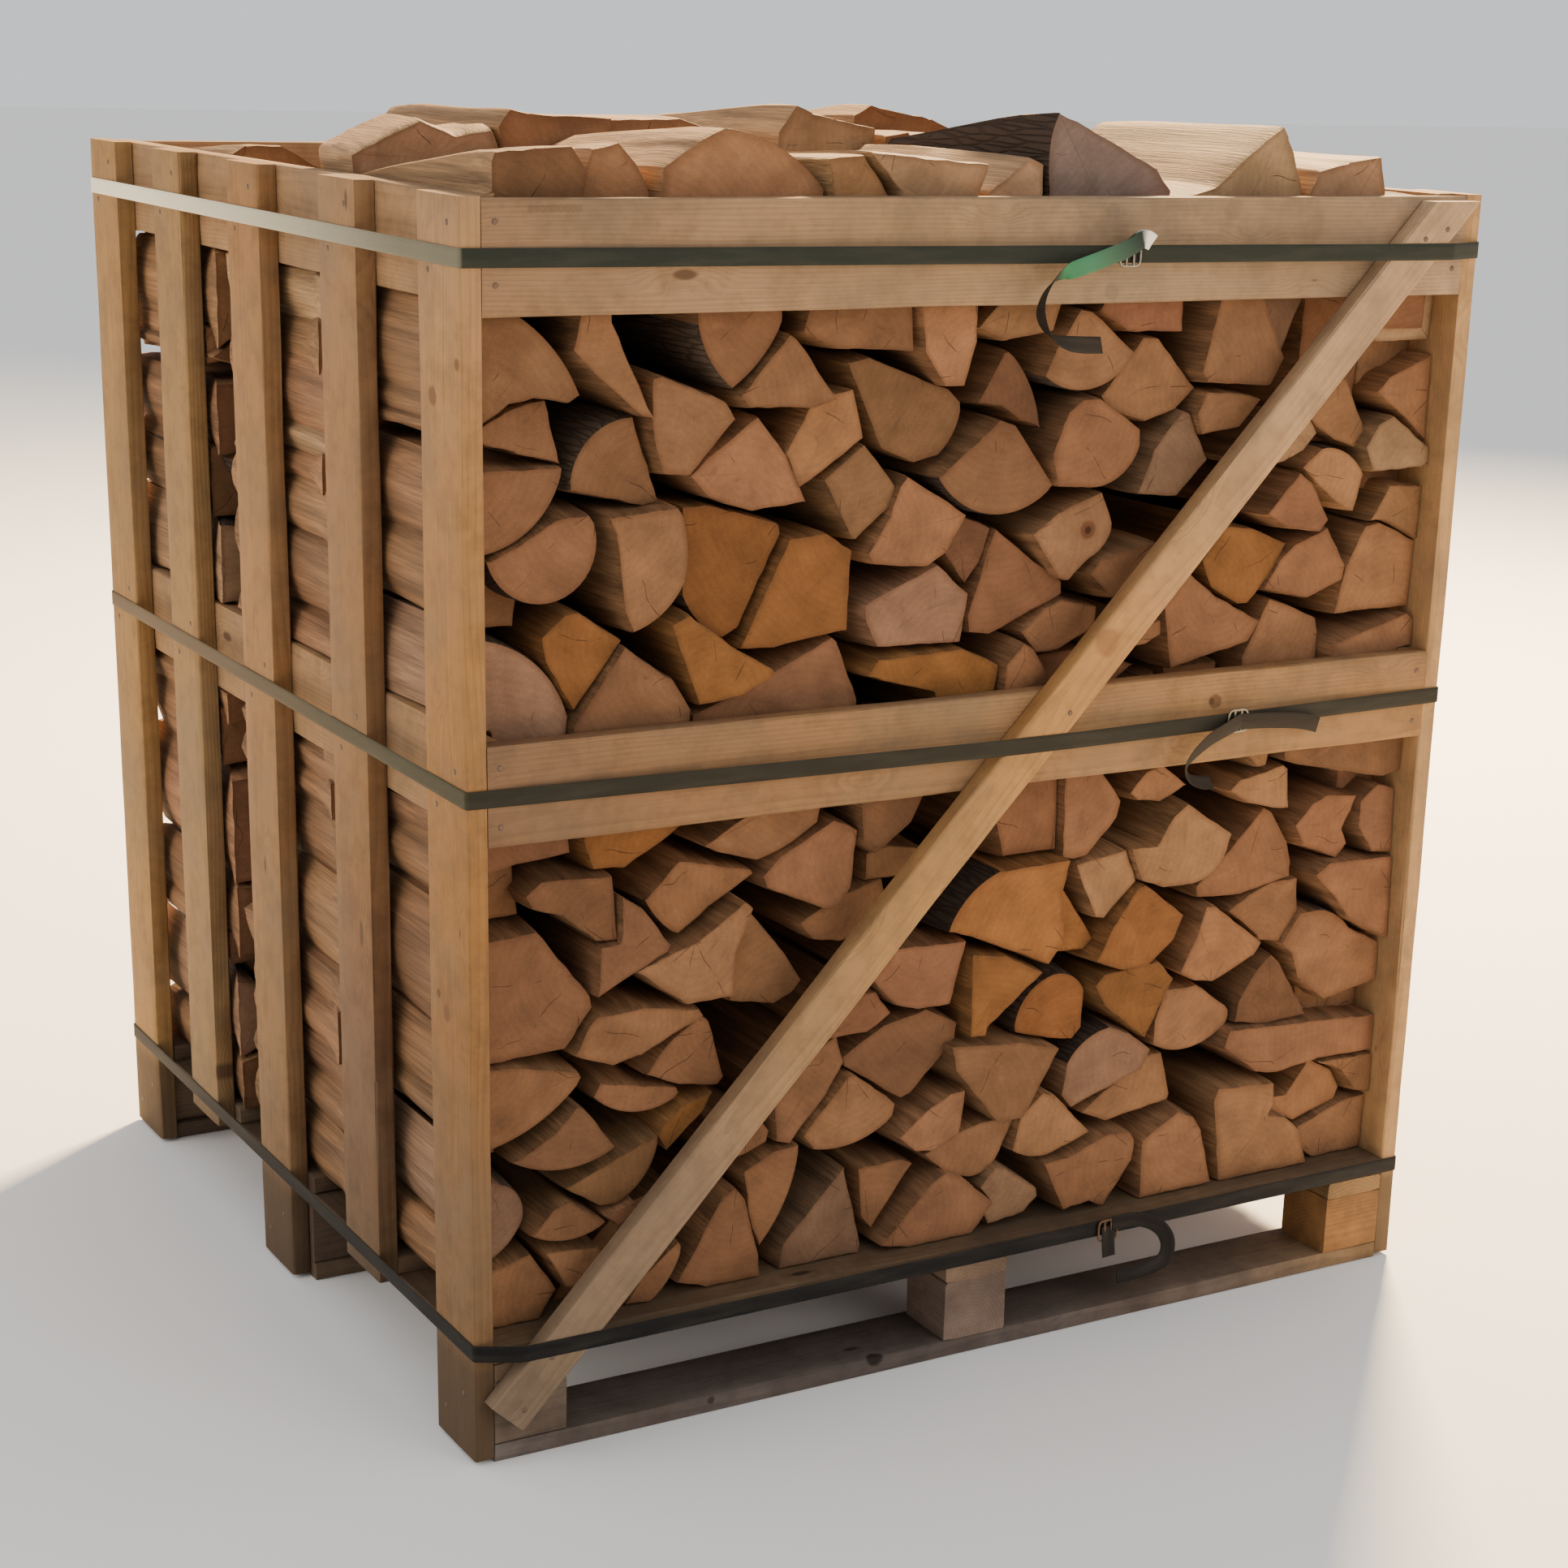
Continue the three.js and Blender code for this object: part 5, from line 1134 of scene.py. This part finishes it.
# The long tail of the top strap, with painted light and shade: near white where the sun strikes
# its fold, a painted highlight, dark painted shade where it turns away, and green in its middle.
# Share of its length, colour.
TAIL_LIGHT_AND_SHADE = [(0, "#3c4436"), (0.09, "#3c4436"), (0.12, "#f2eddf"), (0.18, "#f2eddf"),
              (0.2, "#1f2b25"), (0.26, "#33493b"), (0.33, "#3f6049"), (0.42, "#3f7a58"),
              (0.53, "#33764f"), (0.56, "#33302a"), (1, "#2e241a")]
STRAPS = {
    "top": {
        "height": 1194, "fall": -5, "tint": "#24281f",
        "left_sheen_tints": ("#efe7cc", "#6e6a56"), "tail_tint": "#2b2a22",
        "tails": [[
            (104, -574, 1193, 0, 0, 1), (120, -575, 1201, -0.3, 0, 1), (132, -576.5, 1209, 0.1, 0, 1),
            (143, -579, 1205, 0.6, 0, 0.8), (131, -581.5, 1209, 0.1, 0, 1),
            (112, -582, 1200, -0.3, 0, 1), (79, -581, 1189, -0.3, 0, 1), (49, -580, 1180, -0.3, -0.1, 1),
            (37, -580, 1177, -0.4, -0.6, 0.7), (24, -580, 1169, -0.4, -0.9, 0.3),
            (13, -580, 1153, -0.3, -1, 0), (11, -580, 1135, *FORWARD), (21, -580, 1117, 0, -1, -0.3),
            (38, -580, 1109, 0, -0.7, -0.7), (60, -580, 1106, 0, -0.4, -1),
            (86, -580, 1105, 0, -0.4, -1),
        ]],
    },
    "middle": {
        "height": 696.5, "fall": -2, "tint": "#29251a",
        "left_sheen_tints": ("#62503a", "#37341f"), "tail_tint": "#2a2117",
        "tails": [
            [
                (304, -573, 696, 0, 0, 1), (285, -576, 690, -0.35, -0.2, 0.9),
                (259, -578, 680, -0.45, -0.3, 0.8), (236, -580, 665, -0.6, -0.5, 0.5),
                (227, -580, 652, -0.7, -0.7, 0.1), (232, -580, 640, -0.5, -0.8, -0.4),
                (247, -580, 634, 0, -0.7, -0.7), (262, -580, 633, 0, -0.7, -0.7),
            ],
            [
                (300, -573, 695, 0, 0, 1), (340, -573.5, 693, 0, 0, 1), (378, -573, 689, 0.1, 0, 1),
                (398, -572.5, 685, 0.2, 0, 1), (412, -572, 681, 0.2, 0, 1),
            ],
        ],
    },
    "bottom": {
        "height": 122.5, "fall": -7, "tint": "#0b0807",
        "left_sheen_tints": ("#1b140e", "#110d09"), "tail_tint": "#120d09",
        "tails": [
            [(167, -568, 124, 1, 0, 0), (167, -570, 106, 1, 0, 0), (168, -571, 88, 1, 0, 0)],
            [
                (172, -570, 127, 0, 0, 1), (200, -573, 128, 0, 0, 1), (224, -577, 120, 0.5, -0.2, 0.9),
                (239, -579, 106, 0.8, -0.3, 0.5), (245, -579, 90, 1, -0.3, 0),
                (241, -579, 75, 0.7, -0.3, -0.7), (226, -579, 68, 0.3, -0.2, -1),
                (200, -579, 65, 0, -0.1, -1), (175, -579, 65, 0, -0.1, -1),
            ],
        ],
    },
}


def woven_polyester():
    """Woven polyester strapping: lengthwise yarns 1.5 mm apart, drawn coarser than the real
    0.8 mm so that they show, under weft bars 2 mm apart. It has a faint plastic shine."""
    material, tree, surface = new_material("woven_polyester_strap", 0.65, 0.2)
    weave = attribute(tree, "weave")
    along, across, _ = parts_of(tree, weave)
    yarns = maths(tree, "SINE", maths(tree, "MULTIPLY", across, 2 * np.pi / YARN_SPACING))
    wefts = maths(tree, "SINE", maths(tree, "MULTIPLY", along, 2 * np.pi / WEFT_SPACING))
    cloth = maths(tree, "MULTIPLY_ADD", wefts, 0.4, yarns)
    share = mapped(tree, cloth, -1.4, 1.4, 0.75, 1.15)
    thread = mixed(tree, 1.0, attribute(tree, "tint", "Color"), share, "MULTIPLY")
    dust = noise(tree, times(tree, weave, (12, 90, 1)), 1.0, 4.0)
    dusty = mapped(tree, dust, 0.45, 0.75, 0.0, 0.07)
    colour = mixed(tree, dusty, thread, linear("#7d7562"))
    set_surface(tree, surface, colour, cloth, 0.4, 0.25 * MM)
    return material


strap_cloth = woven_polyester()
for level, strap in STRAPS.items():
    path, across, outward = strap_path(strap["height"] * MM, strap["fall"] * MM)
    points, faces, weave = ribbon(path, across, outward, closed=True)
    # On the left face each strap is painted lighter towards the back and darker at the front corner: a
    # painted sheen of the sun reflected off it
    on_left = np.clip((3 * MM - SIDE - points[:, 0]) / (3 * MM), 0, 1)[:, None]
    forward = np.clip(0.5 - points[:, 1] / 0.8, 0, 1)[:, None]
    back_tint, front_tint = (np.array(linear(tint)) for tint in strap["left_sheen_tints"])
    painted_sheen = back_tint * (1 - forward) + front_tint * forward
    tints = np.array(linear(strap["tint"])) * (1 - on_left) + painted_sheen * on_left
    for route in strap["tails"]:
        more, tail_faces, tail_weave = tail(route)
        points, faces = with_more(points, faces, more, tail_faces)
        weave = np.concatenate([weave, tail_weave])
        if level == "top":
            share = tail_weave[:, 0] / tail_weave[-1, 0]
            colours = gradient(share, *zip(*TAIL_LIGHT_AND_SHADE))
        else:
            colours = np.tile(linear(strap["tail_tint"]), (len(more), 1))
        tints = np.concatenate([tints, colours])
    piece = add_mesh("woven_strap_" + level, points, faces, {"weave": weave, "tint": tints}, 50)
    piece.data.materials.append(strap_cloth)
    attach(piece, "root")
    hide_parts("strap_" + level)

# Buckles: steel wire 2.8 mm thick, bent to a loop with two bars that the strap goes round, one
# to a strap. The bottom one is rusty.
WIRE_RADIUS = 1.4 * MM
WIRE_SIDES = 8
BAR_OFFSET = 4.5 * MM
# The loop is |x / a|^5 + |z / b|^5 = 1
LOOP_POWER = 5


def wire(path, closed):
    """A round wire along points in a plane of equal y: circles round each point."""
    turn = np.linspace(0, 2 * np.pi, WIRE_SIDES, endpoint=False)[:, None]
    if closed:
        along = np.roll(path, -1, axis=0) - np.roll(path, 1, axis=0)
    else:
        along = np.gradient(path, axis=0)
    along /= np.linalg.norm(along, axis=1)[:, None]
    depth = np.array([0, 1.0, 0])
    side = np.cross(along, depth)
    circles = np.cos(turn) * side[:, None] + np.sin(turn) * depth
    points, quads, fans = loft(path[:, None] + WIRE_RADIUS * circles)
    if closed:
        return points[:-2], quads.tolist() + seam(len(path), WIRE_SIDES)
    return points, quads.tolist() + fans.tolist()


def wire_material(name, dark, light, metallic, roughness):
    """Wire whose colour wanders between a dark and a light tint in spots of 3 to 6 mm."""
    material, tree, surface = new_material(name, roughness, metallic=metallic)
    metal = mixed(tree, noise(tree, position(tree), 180.0, 3.0), linear(dark), linear(light))
    tree.links.new(metal, surface.inputs["Base Color"])
    return material


wire_steel = wire_material("galvanised_wire", "#6f6758", "#a39a86", 0.9, 0.42)
rusty_wire = wire_material("rusty_steel_wire", "#4a3120", "#7a5a40", 0.5, 0.6)
for level in STRAPS:
    low, high = (np.array(corner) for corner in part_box("buckle_" + level))
    middle, half = (low + high) / 2, (high - low) / 2 - WIRE_RADIUS
    turn = np.linspace(0, 2 * np.pi, 28, endpoint=False) + 0.1
    x, z = np.cos(turn), np.sin(turn)
    reach = (np.abs(x) ** LOOP_POWER + np.abs(z) ** LOOP_POWER) ** (-1 / LOOP_POWER)
    loop = middle + np.stack([x * reach * half[0], 0 * turn, z * reach * half[2]], -1)
    points, faces = wire(loop, closed=True)
    for offset in (-BAR_OFFSET, BAR_OFFSET):
        bar = middle + np.array([[offset, 0, -half[2]], [offset, 0, 0], [offset, 0, half[2]]])
        points, faces = with_more(points, faces, *wire(bar, closed=False))
    buckle = add_mesh("wire_buckle_" + level, points, faces, sharp_angle=60)
    buckle.data.materials.append(rusty_wire if level == "bottom" else wire_steel)
    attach(buckle, "root")
    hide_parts("buckle_" + level)

# A pale floor, a small strong light above at the right and behind, two weak large ones at the
# left and in front, and the camera, left of the front and a little above the top rail.
FLOOR_HALF = 40
floor_corners = np.array([(-1, -1, 0), (1, -1, 0), (1, 1, 0), (-1, 1, 0)]) * FLOOR_HALF
floor = add_mesh("pale_floor", floor_corners, [[0, 1, 2, 3]])
floor_paint, tree, surface = new_material("matt_pale_floor", 0.9)
surface.inputs["Base Color"].default_value = linear("#f5f4f2")
floor.data.materials.append(floor_paint)
floor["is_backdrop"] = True

world = bpy.data.worlds.new("studio")
bpy.context.scene.world = world
world.use_nodes = True
sky = world.node_tree.nodes["Background"]
sky.inputs["Color"].default_value = linear("#f2f4f7")
sky.inputs["Strength"].default_value = 0.95


def add_panel(name, place, target, size, power, colour):
    """A square light panel that faces a target."""
    lamp = bpy.data.lights.new(name, "AREA")
    lamp.size = size
    lamp.energy = power
    lamp.color = linear(colour)[:3]
    panel = bpy.data.objects.new(name, lamp)
    direction = np.array(target, float) - np.array(place, float)
    back = -direction / np.linalg.norm(direction)
    right = np.cross([0, 0, 1], back)
    right /= np.linalg.norm(right)
    turn = Matrix(np.stack([right, np.cross(back, right), back], 1).tolist()).to_4x4()
    panel.matrix_world = Matrix.Translation(place) @ turn
    bpy.context.scene.collection.objects.link(panel)


add_panel("panel_above", (3.4, 3.0, 4.4), (0, 0, 1.0), 1.0, 2200, "#ffdca8")
add_panel("panel_left", (-5.2, 0.6, 2.8), (0, 0, 0.6), 3.0, 90, "#fff3e6")
add_panel("panel_front", (1.6, -5.6, 2.4), (0, 0, 0.6), 3.0, 90, "#fff3e6")

CAMERA_PLACE = (-1.65649, -3.03716, 1.40142)
CAMERA_AZIMUTH = 31.43
CAMERA_PITCH = -17.858
CAMERA_ROLL = 1.797
SENSOR_WIDTH = 36
FOCAL_LENGTH = 67.152
# The photo is cut from a larger one, so its middle is off the lens's axis
LENS_SHIFT = (-0.06, 0.12)
lens = bpy.data.cameras.new("camera")
lens.sensor_width = SENSOR_WIDTH
lens.lens = FOCAL_LENGTH
lens.shift_x, lens.shift_y = LENS_SHIFT
lens.clip_end = 200
camera = bpy.data.objects.new("camera", lens)
turned = (Matrix.Rotation(radians(-CAMERA_AZIMUTH), 4, "Z")
          @ Matrix.Rotation(radians(90 + CAMERA_PITCH), 4, "X")
          @ Matrix.Rotation(radians(CAMERA_ROLL), 4, "Z"))
camera.matrix_world = Matrix.Translation(CAMERA_PLACE) @ turned
bpy.context.scene.collection.objects.link(camera)
bpy.context.scene.camera = camera

low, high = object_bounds()
